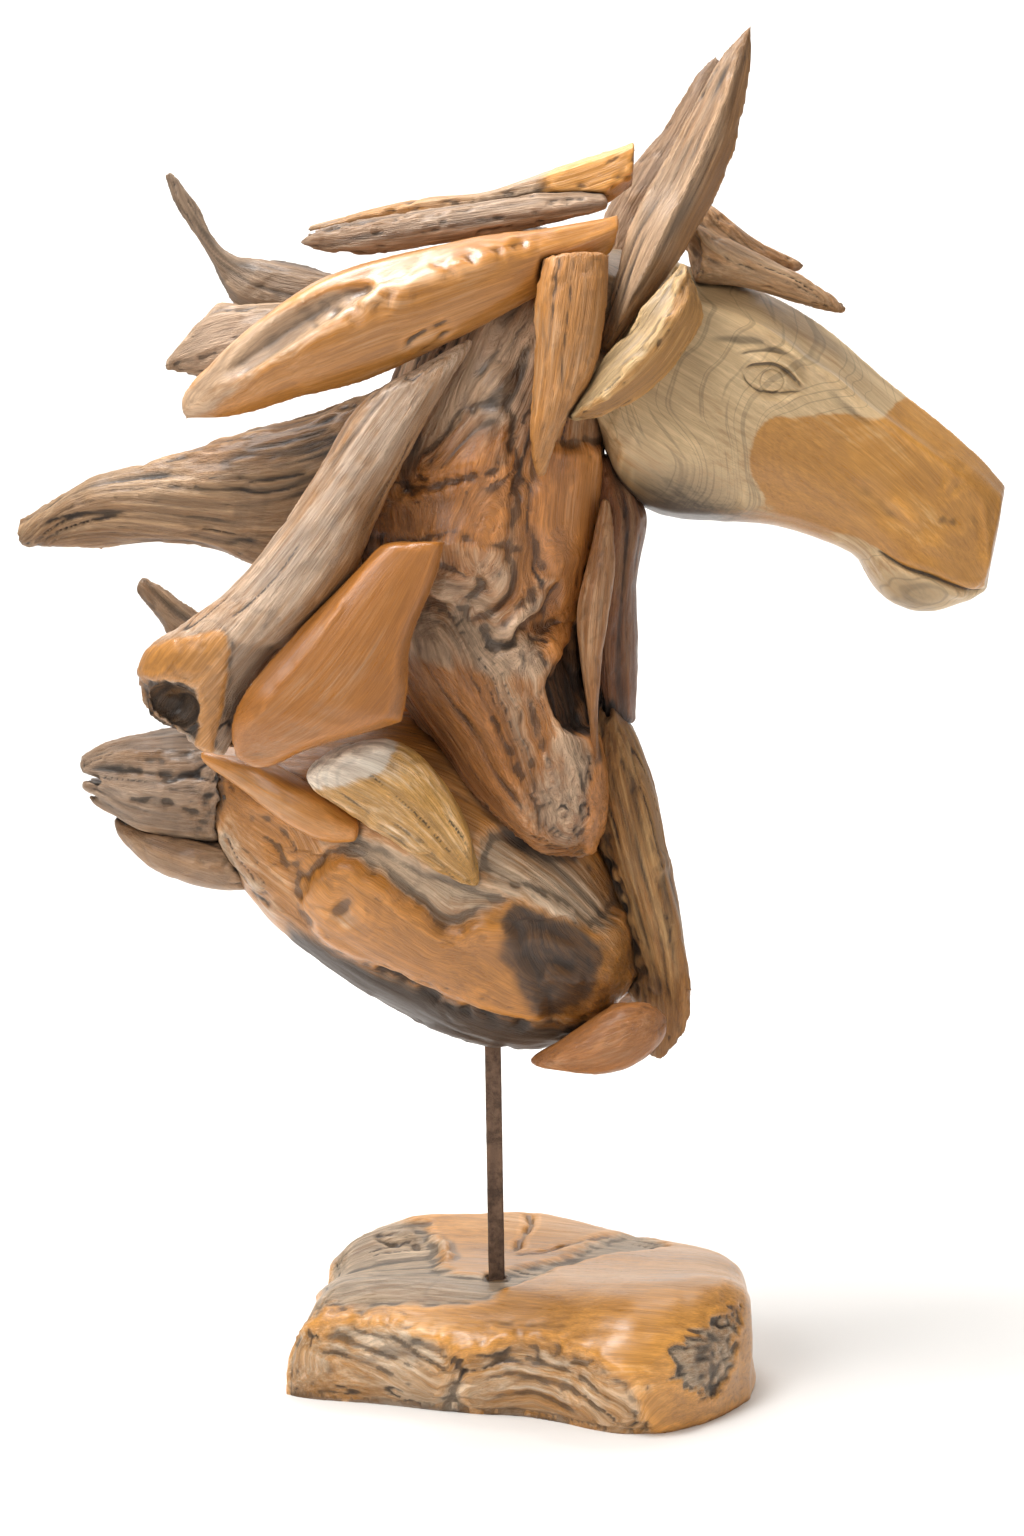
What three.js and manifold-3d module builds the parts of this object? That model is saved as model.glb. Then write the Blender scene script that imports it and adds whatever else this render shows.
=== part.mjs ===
// A horse's head in profile, put together from shards of teak driftwood, on a steel bar in a driftwood block.
// Millimetres, +Z up, +X the way the horse looks, -Y towards the viewer of its right cheek.
// The origin is on the underside of the block, straight under the foot of the bar.
import * as THREE from "three";
import { mergeVertices } from "three/addons/utils/BufferGeometryUtils.js";
import Module from "manifold-3d";

const wasm = await Module();
wasm.setup();

// Driving dimensions.
const JOINT_GAP = 0.45; // how far a fitted face stays off the piece that it was cut to fit
const BAR = 12; // side of the square steel bar
const BAR_FOOT = 48; // height of the bar's lower end, inside the block
const BAR_TOP = 306; // height of its upper end, inside the chest root
const BAR_LEAN = 4; // how far its upper end leans back, towards the mane
const RIVER_TEAK = 0xb5702c; // sanded and oiled faces
const WEATHERED = 0x8a6a4c; // grey-brown faces left as found
const DARK_HEART = 0x6e4227;
const PALE_SAP = 0xc9a469;
const RUSTED = 0x57463a;

const wood = (color, roughness = 0.5) => new THREE.MeshStandardMaterial({ color, roughness, metalness: 0 });

const point = ([x, y, z]) => new THREE.Vector3(x, y, z);
const rail = (points) => new THREE.CatmullRomCurve3(points.map(point), false, "centripetal");
const lerp = THREE.MathUtils.lerp;

/** The value at u, from 0 to 1, of a list of evenly spaced values. */
function along(values, u) {
  const place = u * (values.length - 1);
  const i = Math.min(Math.floor(place), values.length - 2);
  return lerp(values[i], values[i + 1], place - i);
}

// Section profiles: [share of the way from the lower rail to the upper, share of the full height], ends left out.
const oval = (steps, power = 0.5) =>
  Array.from({ length: steps - 1 }, (_, i) => {
    const across = 0.5 - 0.5 * Math.cos((Math.PI * (i + 1)) / steps);
    return [across, (4 * across * (1 - across)) ** power];
  });
const roof = (ridge, fullness = 0.62) => [
  [ridge * 0.45, fullness],
  [ridge, 1],
  [ridge + (1 - ridge) * 0.55, fullness],
];
const slab = (lowChamfer, highChamfer) => [
  [0.04, 0.45],
  [lowChamfer, 1],
  [1 - highChamfer, 1],
  [0.97, 0.3],
];

/** A closed manifold solid from rings of points, all alike in number, with each end closed by a fan to its middle. */
function loft(rings, bulge = [0, 0]) {
  const count = rings[0].length;
  const points = rings.flat();
  const faces = [];
  for (let i = 0; i < rings.length - 1; i++)
    for (let j = 0; j < count; j++) {
      const a = i * count + j;
      const b = i * count + ((j + 1) % count);
      faces.push([a, b, b + count], [a, b + count, a + count]);
    }
  const middle = (ring) => ring.reduce((sum, p) => sum.add(p), new THREE.Vector3()).divideScalar(count);
  [0, rings.length - 1].forEach((i, end) => {
    const inner = middle(rings[end ? i - 1 : 1]);
    const centre = middle(rings[i]);
    centre.add(centre.clone().sub(inner).setLength(bulge[end]));
    const top = points.push(centre) - 1;
    for (let j = 0; j < count; j++) {
      const edge = [i * count + j, i * count + ((j + 1) % count)];
      faces.push(end ? [edge[0], edge[1], top] : [edge[1], edge[0], top]);
    }
  });
  return closed(points, faces);
}

/** A manifold solid from points and triangles, turned to face outwards. */
function closed(points, faces) {
  const volume = faces.reduce((sum, [a, b, c]) => sum + points[a].dot(points[b].clone().cross(points[c])), 0);
  const vertProperties = new Float32Array(points.flatMap((p) => p.toArray()));
  const triVerts = new Uint32Array(faces.flatMap(([a, b, c]) => (volume < 0 ? [a, c, b] : [a, b, c])));
  return new wasm.Manifold(new wasm.Mesh({ numProp: 3, vertProperties, triVerts }));
}

/** A three.js geometry as a manifold solid. */
function fromGeometry(geometry) {
  geometry.deleteAttribute("normal");
  geometry.deleteAttribute("uv");
  const merged = mergeVertices(geometry, 1e-3);
  const vertProperties = new Float32Array(merged.attributes.position.array);
  return new wasm.Manifold(new wasm.Mesh({ numProp: 3, vertProperties, triVerts: new Uint32Array(merged.index.array) }));
}

/** An egg-shaped cutter or lump, turned about the viewing axis. */
function egg([x, y, z], [rx, ry, rz], turn = 0) {
  const ball = new THREE.SphereGeometry(1, 9, 6).scale(rx, ry, rz).rotateY(THREE.MathUtils.degToRad(turn));
  return fromGeometry(ball.translate(x, y, z));
}

/** A solid's vertices as vectors, with its triangles. */
function meshOf(solid) {
  const { numProp, numVert, vertProperties, triVerts } = solid.getMesh();
  const points = Array.from({ length: numVert }, (_, i) => point(vertProperties.subarray(i * numProp, i * numProp + 3)));
  const faces = Array.from({ length: triVerts.length / 3 }, (_, i) => [...triVerts.subarray(3 * i, 3 * i + 3)]);
  return { points, faces };
}

/** The solid with every vertex pushed out along its normal. */
function grown(solid, by) {
  const { points, faces } = meshOf(solid);
  const normals = points.map(() => new THREE.Vector3());
  for (const face of faces) {
    const [a, b, c] = face.map((i) => points[i]);
    const normal = b.clone().sub(a).cross(c.clone().sub(a)).normalize();
    face.forEach((i, corner) => {
      const p = points[i];
      const to = (k) => points[face[(corner + k) % 3]].clone().sub(p);
      normals[i].addScaledVector(normal, to(1).angleTo(to(2)));
    });
  }
  return closed(points.map((p, i) => p.clone().addScaledVector(normals[i].normalize(), by)), faces);
}

/**
 * A shard of driftwood between two long edges.
 * upper, lower: the edges, from one end of the shard to the other, as points.
 * front, back: how far each side swells from the surface between the edges, at even steps along the shard.
 * face, rear: the profile of each side. steps: stations along it. bulge: how far the end faces stand out.
 * lumps: [share along, share across, height, radius] of knobs, or of hollows where the height is negative.
 * rough: how uneven it is.
 */
function shard({ upper, lower, front, back, face = oval(4), rear = oval(3), steps = 9, bulge = [2, 2],
  lumps = [], rough = 1.5, seed = 0, facing = [0, -1, 0] }) {
  const high = rail(upper);
  const low = rail(lower);
  const length = high.getLength();
  const rings = [];
  for (let i = 0; i <= steps; i++) {
    const u = i / steps;
    const base = low.getPointAt(u);
    const across = high.getPointAt(u).sub(base);
    const tangent = high.getTangentAt(u).add(low.getTangentAt(u));
    const out = across.clone().cross(tangent).normalize();
    if (out.dot(point(facing)) < 0) out.negate();
    const width = across.length();
    const uneven = (j) => rough * Math.sin(11 * u + 2.1 * j + seed) * Math.sin(5 * u + 1.3 * j + 2 * seed);
    const at = (share, height) => base.clone().addScaledVector(across, share).addScaledVector(out, height);
    const lump = (share) =>
      lumps.reduce((sum, [lu, ls, height, radius]) => {
        const away = Math.hypot((u - lu) * length, (share - ls) * width) / radius;
        return sum + height * Math.exp(-away * away);
      }, 0);
    rings.push([
      at(0, 0),
      ...face.map(([share, h], j) => at(share, along(front, u) * h + lump(share) + uneven(j) * h)),
      at(1, 0),
      ...rear.toReversed().map(([share, h], j) => at(share, -along(back, u) * h - uneven(j + 7) * h)),
    ]);
  }
  return loft(rings, bulge);
}

/** The carved head: sections through five lines, of which all but the crown and throat have a twin on the far side. */
function carvedHead() {
  const crown = rail([[66, 0, 842], [110, 0, 838], [146, 0, 826], [198, 0, 808], [237, 0, 785], [280, 0, 749],
    [324, 0, 715], [352, 0, 690], [368, 0, 672]]);
  const ridge = rail([[66, 46, 824], [110, 56, 812], [146, 58, 801], [190, 58, 782], [209, 55, 766], [238, 49, 748],
    [284, 41, 709], [318, 35, 688], [350, 28, 668], [362, 24, 658]]);
  const cheek = rail([[60, 56, 765], [100, 65, 748], [140, 66, 728], [180, 60, 716], [225, 50, 698], [275, 40, 667],
    [320, 37, 642], [354, 31, 626]]);
  const jaw = rail([[74, 44, 712], [88, 52, 684], [118, 52, 664], [150, 47, 660], [190, 41, 658], [228, 33, 648],
    [262, 27, 630], [284, 28, 604], [312, 30, 594], [350, 27, 602]]);
  const throat = rail([[78, 0, 708], [88, 0, 680], [108, 0, 657], [131, 0, 649], [196, 0, 645], [239, 0, 632],
    [262, 0, 620], [272, 0, 604], [284, 0, 590], [309, 0, 581], [334, 0, 587], [356, 0, 597]]);
  const steps = 21;
  const twin = (p) => new THREE.Vector3(p.x, -p.y, p.z);
  const rings = [];
  for (let i = 0; i <= steps; i++) {
    const u = i / steps;
    const [top, edge, side, low, under] = [crown, ridge, cheek, jaw, throat].map((line) => line.getPointAt(u));
    const brow = top.clone().lerp(edge, 0.5).add(new THREE.Vector3(0, 0, 2));
    const flank = new THREE.CatmullRomCurve3([edge, side, low, under], false, "centripetal");
    const half = [brow, edge, ...[0.2, 0.4, 0.6, 0.8].map((share) => flank.getPointAt(share))];
    rings.push([top, ...half, under, ...half.map(twin).reverse()]);
  }
  return loft(rings, [6, 4]);
}

/**
 * The block: a split log with a flat sawn underside. A weathered valley runs along its top between two round
 * ridges, and the rear ridge is set back at the left end.
 */
function driftwoodBlock() {
  const [left, right] = [-157, 192];
  const frontEdge = [-46, -55, -62, -76, -85, -90, -107, -129, -122, -98, -50];
  const backEdge = [84, 110, 132, 146, 152, 157, 148, 118, 100, 76, 44];
  const frontRidge = [84, 85, 84, 82, 82, 84, 88, 91, 92, 90, 84];
  const valley = [78, 79, 80, 81, 81, 82, 84, 88, 91, 90, 84];
  const rearRidge = [86, 93, 96, 95, 94, 94, 93, 91, 89, 87, 84];
  const setBack = 28; // of the rear ridge's left end
  const roundness = 26; // radius of the edges at both ends
  const lean = { left: 22, right: -4 }; // how far the top of each end stands in from its foot
  const fromEnd = [0, 3, 10, roundness];
  const middle = Array.from({ length: 9 }, (_, i) => lerp(left + roundness, right - roundness, (i + 1) / 10));
  const stations = [...fromEnd.map((d) => left + d), ...middle, ...fromEnd.map((d) => right - d).reverse()];
  return loft(stations.map((x) => {
    const u = (x - left) / (right - left);
    const inset = 1 - Math.min(1, (x - left) / roundness, (right - x) / roundness);
    const fullness = Math.sqrt(1 - inset * inset);
    const [front, back] = [along(frontEdge, u), along(backEdge, u)];
    const [high, dip, ridge] = [along(frontRidge, u), along(valley, u), along(rearRidge, u)];
    const outline = [
      [0.03, 0], [0, 0.3 * high], [0.01, 0.6 * high], [0.08, 0.8 * high], [0.26, high], [0.4, lerp(high, dip, 0.6)],
      [0.5, dip], [0.62, dip], [0.76, lerp(dip, ridge, 0.6)], [0.87, ridge], [0.97, 0.78 * ridge], [1, 0.36 * ridge], [0.97, 0],
    ];
    return outline.map(([share, z]) => {
      const nearLeft = Math.max(0, 1 - 2.5 * u);
      const rear = THREE.MathUtils.smoothstep(share, 0.42, 0.58);
      const leaning = lean.left * (1 - rear) * nearLeft * (z / high) ** 3 + lean.right * Math.max(0, 4 * u - 3);
      const y = lerp(front, back, lerp(0.5, share, lerp(0.88, 1, fullness)));
      return new THREE.Vector3(x + setBack * rear * nearLeft + leaning, y, z * lerp(0.76, 1, fullness));
    });
  }));
}

/** The square bar, leaning a little. */
function bar() {
  const length = BAR_TOP - BAR_FOOT;
  const rod = new THREE.BoxGeometry(BAR, BAR, length);
  rod.rotateY(-Math.atan2(BAR_LEAN, length));
  return fromGeometry(rod.translate(-BAR_LEAN / 2, 0, (BAR_TOP + BAR_FOOT) / 2));
}

/** The long oiled blade that sweeps back from the poll, with a scoop worn along its upper half. */
function maneBlade() {
  const blade = shard({
    upper: [[-219, -72, 737], [-190, -76, 769], [-151, -80, 800], [-113, -82, 822], [-32, -78, 843], [39, -66, 853], [85, -55, 862]],
    lower: [[-216, -74, 722], [-179, -78, 724], [-145, -82, 735], [-95, -86, 747], [-44, -86, 769], [6, -80, 794], [80, -62, 838]],
    front: [5, 20, 28, 30, 28, 22, 14], back: [5, 15, 22, 25, 28, 30, 25],
    face: [[0.08, 0.5], [0.28, 0.86], [0.5, 1], [0.76, 0.8], [0.95, 0.5]], steps: 12, rough: 1,
  });
  const scoop = shard({
    upper: [[-213, -93, 741], [-190, -98, 765], [-150, -104, 795], [-112, -106, 814], [-86, -106, 817]],
    lower: [[-209, -93, 734], [-179, -100, 747], [-131, -108, 778], [-100, -109, 796], [-84, -107, 809]],
    front: [8, 14, 18, 16, 6], back: [3, 11, 15, 12, 2], face: oval(2), rear: oval(4), steps: 7, rough: 0,
  });
  return blade.subtract(scoop);
}

/** The long grey-brown shard that falls from the crest to its sawn foot, with a rotted pocket in the foot. */
function maneSweep() {
  const sweep = shard({
    upper: [[-19, -84, 778], [-48, -92, 761], [-94, -98, 734], [-122, -102, 689], [-151, -106, 646], [-189, -106, 602],
      [-233, -104, 572], [-247, -102, 561], [-250, -102, 547], [-248, -102, 528], [-240, -102, 515], [-224, -102, 508]],
    lower: [[-17, -86, 772], [-32, -94, 748], [-58, -100, 701], [-80, -104, 658], [-103, -108, 606], [-150, -110, 562],
      [-173, -108, 532], [-180, -106, 504], [-185, -104, 489], [-204, -102, 489], [-211, -102, 496]],
    front: [3, 12, 17, 20, 22, 24, 26, 27, 24, 14, 6], back: [3, 16, 28, 36, 42, 44, 44, 44, 40, 32, 24],
    face: [[0.06, 0.35], [0.3, 0.95], [0.6, 1], [0.9, 0.6]], steps: 15, bulge: [2, 2], seed: 1,
  });
  return sweep.subtract(egg([-227, -126, 524], [22, 24, 14], 12));
}

/** The forelock: one forked piece whose two prongs hang over the brow, with a hollow at its broken root. */
function forelock() {
  const upperProng = shard({
    upper: [[136, -6, 876], [153, -6, 871], [181, -6, 850], [209, -6, 836], [219, -6, 831]],
    lower: [[134, -6, 840], [159, -6, 834], [181, -6, 829], [205, -6, 825], [218, -6, 826]],
    front: [24, 22, 16, 12, 4], back: [26, 24, 18, 12, 4], steps: 6, seed: 2,
  });
  const lowerProng = shard({
    upper: [[134, -26, 864], [158, -26, 851], [187, -26, 836], [222, -26, 819], [246, -26, 801]],
    lower: [[141, -26, 814], [162, -26, 815], [193, -26, 808], [222, -26, 799], [245, -26, 795]],
    front: [26, 25, 20, 15, 4], back: [34, 32, 24, 16, 5], steps: 7, seed: 3,
  });
  return upperProng.add(lowerProng).subtract(egg([131, -44, 838], [13, 16, 22], -8));
}

/** The knotted grey piece low on the mane, split into three blunt points. */
function lowerGnarl() {
  const body = shard({
    upper: [[-305, 0, 474], [-281, 0, 487], [-247, 0, 496], [-223, 0, 497], [-188, 0, 492], [-140, 0, 478]],
    lower: [[-297, 0, 440], [-278, 0, 428], [-248, 0, 411], [-201, 0, 407], [-140, 0, 415]],
    front: [18, 32, 38, 40, 38], back: [18, 32, 38, 40, 38], steps: 8, rough: 3, seed: 4,
    lumps: [[0.35, 0.7, 7, 22], [0.5, 0.35, -8, 16], [0.7, 0.75, 6, 20]],
  });
  const split = (z, turn, length) => egg([-303, 0, z], [length, 60, 3.2], turn);
  return body.subtract(split(461, 14, 26)).subtract(split(449, 20, 20));
}

// The near side, in the order that the pieces are fitted: each is cut to sit against all those before it.
const near = {
  support_bar: [bar, new THREE.MeshStandardMaterial({ color: RUSTED, roughness: 0.8, metalness: 0.6 })],
  base_block: [driftwoodBlock, wood(RIVER_TEAK, 0.35)],
  chest_root: [() => shard({
    upper: [[-208, -12, 482], [-170, -10, 490], [-120, -8, 502], [-60, -6, 506], [0, -6, 484], [50, -8, 440], [84, -14, 394],
      [101, -18, 344], [103, -20, 322]],
    lower: [[-216, -12, 468], [-206, -10, 422], [-184, -8, 378], [-154, -6, 343], [-119, -6, 317], [-81, -6, 290],
      [-31, -6, 269], [20, -6, 260], [62, -10, 270], [92, -16, 296], [101, -20, 312]],
    front: [12, 48, 66, 76, 80, 76, 60, 28], back: [12, 46, 62, 72, 76, 74, 56, 30],
    face: oval(7, 0.45), rear: oval(5), steps: 16, rough: 2.5, seed: 5, bulge: [2, 8],
    lumps: [[0.42, 0.55, 12, 34], [0.42, 0.55, -10, 9], [0.62, 0.62, 8, 30], [0.55, 0.12, -12, 26], [0.82, 0.5, 6, 26]],
  }), wood(RIVER_TEAK, 0.4)],
  neck_trunk: [() => shard({
    upper: [[-40, -6, 836], [-68, -6, 768], [-92, -8, 702], [-108, -8, 640], [-104, -12, 584], [-70, -24, 520],
      [-44, -36, 482], [-17, -50, 442], [8, -56, 420]],
    lower: [[70, -4, 846], [76, -6, 780], [78, -8, 714], [76, -8, 650], [68, -10, 598], [62, -12, 560], [72, -26, 490],
      [78, -44, 440], [66, -56, 410]],
    front: [56, 70, 76, 78, 78, 74, 68, 56, 34], back: [50, 70, 76, 78, 74, 62, 40, 24, 12],
    face: oval(8, 0.45), rear: oval(5), steps: 18, rough: 3.5, seed: 6, bulge: [16, 8],
    lumps: [[0.2, 0.45, 9, 20], [0.34, 0.55, 8, 18], [0.48, 0.5, 11, 22], [0.42, 0.3, 8, 18], [0.57, 0.62, -10, 20],
      [0.6, 0.16, -14, 16], [0.72, 0.35, 7, 30], [0.85, 0.22, 10, 20]],
  }), wood(DARK_HEART, 0.4)],
  head: [carvedHead, wood(0xa98a5c, 0.3)],
  throat_board: [() => shard({
    upper: [[60, -6, 700], [58, -6, 640], [58, -6, 580], [60, -6, 510]],
    lower: [[88, -6, 692], [107, -6, 657], [108, -6, 640], [101, -6, 608], [102, -6, 561], [101, -6, 500]],
    front: [30, 44, 48, 46, 38], back: [30, 42, 46, 44, 38], steps: 8, rough: 3, seed: 7,
  }), wood(DARK_HEART, 0.5)],
  chest_board: [() => shard({
    upper: [[74, -34, 542], [66, -40, 508], [66, -44, 470], [76, -46, 445], [86, -46, 400], [98, -46, 365], [110, -44, 322],
      [118, -40, 292], [112, -34, 262]],
    lower: [[78, -32, 538], [97, -28, 504], [107, -26, 483], [120, -24, 427], [129, -24, 361], [132, -24, 318],
      [130, -24, 282], [115, -28, 255]],
    front: [5, 16, 22, 26, 28, 28, 26, 12], back: [5, 24, 36, 44, 50, 50, 40, 14],
    face: roof(0.55, 0.7), rear: oval(4), steps: 11, rough: 2, seed: 8,
  }), wood(RIVER_TEAK, 0.55)],
  splinter: [() => shard({
    upper: [[75, -58, 665], [67, -66, 629], [57, -72, 588], [60, -76, 554], [66, -76, 506], [69, -75, 482]],
    lower: [[80, -58, 662], [84, -64, 624], [82, -70, 596], [75, -74, 562], [72, -76, 512], [72, -75, 481]],
    front: [4, 9, 11, 10, 8, 3], back: [12, 26, 30, 30, 26, 12], steps: 7, rough: 0.8, seed: 9,
  }), wood(RIVER_TEAK, 0.5)],
  chest_wedge: [() => shard({
    upper: [[25, -72, 265], [43, -78, 277], [63, -82, 291], [78, -84, 301], [92, -84, 307], [107, -80, 308], [121, -72, 296]],
    lower: [[27, -72, 260], [47, -78, 257], [68, -82, 255], [90, -82, 258], [107, -78, 266], [120, -72, 282]],
    front: [3, 13, 16, 16, 13, 4], back: [12, 42, 52, 52, 44, 20], steps: 7, rough: 0.8, seed: 10,
  }), wood(RIVER_TEAK, 0.5)],
  neck_stick: [() => shard({
    upper: [[31, -92, 832], [26, -98, 803], [26, -102, 771], [23, -102, 728], [24, -100, 704], [28, -97, 685]],
    lower: [[78, -84, 834], [77, -92, 805], [73, -98, 772], [69, -100, 755], [56, -102, 734], [44, -100, 713], [34, -97, 683]],
    front: [14, 16, 13, 11, 9, 3], back: [30, 34, 32, 28, 24, 12], steps: 9, rough: 1.5, seed: 11,
    lumps: [[0.06, 0.75, 6, 14]],
  }), wood(RIVER_TEAK, 0.4)],
  mane_blade: [maneBlade, wood(RIVER_TEAK, 0.3)],
  wing: [() => shard({
    upper: [[-211, -56, 486], [-178, -70, 482], [-150, -80, 471], [-129, -84, 462], [-98, -86, 440]],
    lower: [[-208, -56, 477], [-172, -72, 453], [-144, -80, 434], [-122, -84, 424], [-100, -86, 425]],
    front: [4, 10, 13, 13, 5], back: [30, 48, 56, 54, 24], steps: 7, rough: 0.8, seed: 12,
  }), wood(RIVER_TEAK, 0.35)],
  golden_wedge: [() => shard({
    upper: [[-132, -94, 479], [-113, -102, 494], [-72, -106, 500], [-43, -106, 478], [-19, -102, 437], [-12, -94, 398]],
    lower: [[-131, -94, 466], [-102, -100, 446], [-77, -102, 429], [-38, -100, 403], [-18, -94, 395]],
    front: [7, 18, 23, 21, 15, 5], back: [24, 48, 56, 50, 36, 14], face: [[0.06, 0.5], [0.35, 0.9], [0.66, 1], [0.93, 0.6]],
    steps: 9, rough: 1.8, seed: 13,
  }), wood(PALE_SAP, 0.4)],
  near_ear: [() => shard({
    upper: [[174, -50, 991], [163, -50, 981], [153, -52, 967], [135, -55, 935], [115, -58, 898], [97, -62, 866], [89, -66, 844],
      [80, -70, 803], [73, -72, 772]],
    lower: [[177, -50, 990], [179, -50, 977], [177, -50, 960], [173, -50, 940], [166, -52, 907], [151, -54, 870],
      [137, -58, 846], [125, -62, 826], [101, -68, 797], [80, -72, 767]],
    front: [2, 9, 14, 18, 21, 23, 22, 18, 8], back: [2, 7, 11, 15, 19, 24, 28, 28, 20],
    face: roof(0.52, 0.5), rear: oval(3), steps: 12, rough: 0.8, seed: 14, bulge: [3, 3],
  }), wood(WEATHERED, 0.45)],
  cheek_piece: [() => shard({
    upper: [[129, -82, 829], [114, -88, 813], [100, -92, 798], [90, -94, 778], [79, -96, 771], [59, -100, 742], [47, -100, 729]],
    lower: [[133, -80, 824], [144, -84, 793], [133, -88, 772], [114, -92, 748], [95, -95, 734], [75, -98, 724], [54, -100, 720]],
    front: [3, 12, 17, 18, 15, 5], back: [16, 30, 34, 34, 30, 14], face: roof(0.5, 0.55), steps: 9, rough: 1.5, seed: 15,
  }), wood(PALE_SAP, 0.6)],
  far_ear: [() => shard({
    upper: [[158, 44, 980], [145, 42, 969], [132, 43, 947], [117, 45, 925], [103, 47, 910], [86, 50, 885], [72, 50, 850],
      [70, 50, 812]],
    lower: [[162, 44, 978], [168, 42, 942], [160, 44, 906], [145, 48, 870], [126, 52, 840], [106, 54, 808]],
    front: [2, 8, 12, 16, 18, 20, 15], back: [2, 10, 14, 18, 20, 20, 14], steps: 9, seed: 16,
  }), wood(WEATHERED, 0.6)],
  forelock: [forelock, wood(WEATHERED, 0.5)],
  lower_slat: [() => shard({
    upper: [[-136, -45, 848], [-129, -45, 853], [-101, -45, 860], [-37, -45, 869], [28, -45, 878], [74, -45, 878]],
    lower: [[-135, -45, 842], [-115, -45, 837], [-86, -45, 836], [-21, -44, 846], [40, -42, 857], [78, -42, 868]],
    front: [3, 11, 15, 15, 13, 8], back: [3, 12, 16, 18, 18, 14], steps: 8, rough: 1, seed: 17,
  }), wood(WEATHERED, 0.5)],
  upper_slat: [() => shard({
    upper: [[-133, -20, 857], [-102, -20, 865], [-38, -20, 878], [-6, -20, 880], [40, -20, 896], [98, -20, 916]],
    lower: [[-132, -20, 852], [-102, -20, 856], [-38, -20, 862], [28, -22, 866], [77, -22, 870], [96, -22, 884]],
    front: [3, 10, 14, 17, 22, 24], back: [3, 10, 14, 16, 20, 20], face: slab(0.2, 0.15), steps: 8, rough: 0.8, seed: 18,
    bulge: [2, 0],
  }), wood(RIVER_TEAK, 0.45)],
  long_shard: [() => shard({
    upper: [[-342, -24, 650], [-313, -26, 669], [-291, -28, 681], [-235, -30, 694], [-170, -34, 716], [-119, -36, 732],
      [-69, -36, 749], [-36, -36, 757]],
    lower: [[-342, -24, 630], [-292, -26, 629], [-210, -28, 630], [-176, -32, 617], [-120, -36, 598], [-56, -36, 592]],
    front: [10, 20, 28, 32, 32, 28], back: [12, 24, 30, 36, 36, 30], face: [[0.06, 0.4], [0.32, 0.8], [0.66, 1], [0.94, 0.45]],
    steps: 10, rough: 2, seed: 19,
  }), wood(WEATHERED, 0.6)],
  mane_sweep: [maneSweep, wood(WEATHERED, 0.4)],
  shield: [() => shard({
    upper: [[-80, -114, 636], [-102, -118, 614], [-145, -122, 570], [-175, -122, 534], [-184, -119, 511], [-182, -114, 491]],
    lower: [[-35, -110, 638], [-44, -114, 605], [-58, -118, 574], [-60, -120, 545], [-62, -120, 517], [-72, -120, 511],
      [-109, -120, 502], [-163, -115, 482]],
    front: [10, 13, 14, 14, 12, 5], back: [24, 30, 34, 34, 26, 10], face: slab(0.12, 0.24), steps: 9, rough: 0.4, seed: 20,
  }), wood(RIVER_TEAK, 0.3)],
  top_spike: [() => shard({
    upper: [[-233, 12, 895], [-219, 10, 880], [-208, 8, 863], [-204, 6, 852], [-188, 3, 837], [-174, 1, 836], [-145, -1, 833],
      [-115, -3, 824], [-70, -5, 816], [-40, -6, 812]],
    lower: [[-239, 12, 893], [-235, 10, 880], [-225, 8, 863], [-207, 5, 835], [-197, 3, 812], [-190, 1, 800], [-149, -2, 792],
      [-100, -4, 786], [-42, -6, 784]],
    front: [4, 7, 8, 9, 13, 17, 18, 16, 14], back: [4, 7, 8, 9, 13, 17, 18, 16, 14], face: oval(3), steps: 14, rough: 1.2,
    seed: 21,
  }), wood(WEATHERED, 0.65)],
  grey_fan: [() => shard({
    upper: [[-197, -22, 804], [-176, -22, 803], [-141, -20, 804], [-100, -16, 802], [-42, -10, 798]],
    lower: [[-238, -24, 757], [-232, -24, 751], [-215, -24, 749], [-184, -22, 752], [-141, -18, 756], [-90, -14, 762],
      [-42, -10, 766]],
    front: [7, 20, 30, 32, 24], back: [7, 13, 16, 18, 16], face: oval(5), steps: 7, rough: 2, seed: 22,
  }), wood(WEATHERED, 0.65)],
  small_branch: [() => shard({
    upper: [[-258, 27, 605], [-242, 26, 595], [-225, 24, 582], [-190, 20, 566], [-130, 12, 556], [-78, 6, 552]],
    lower: [[-266, 27, 592], [-255, 26, 582], [-249, 24, 570], [-236, 20, 548], [-150, 12, 528], [-76, 6, 520]],
    front: [5, 9, 13, 15, 15], back: [5, 9, 13, 15, 15], face: oval(3), steps: 8, rough: 1, seed: 23,
  }), wood(WEATHERED, 0.6)],
  lower_gnarl: [lowerGnarl, wood(WEATHERED, 0.55)],
  lower_crescent: [() => shard({
    upper: [[-279, 4, 432], [-259, 2, 428], [-242, 2, 424], [-203, 2, 416], [-165, 4, 410]],
    lower: [[-281, 4, 420], [-259, 2, 395], [-220, 2, 379], [-187, 2, 374], [-160, 4, 371]],
    front: [6, 26, 34, 36, 34], back: [6, 26, 34, 36, 34], steps: 7, rough: 1, seed: 24,
  }), wood(WEATHERED, 0.5)],
};

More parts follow.
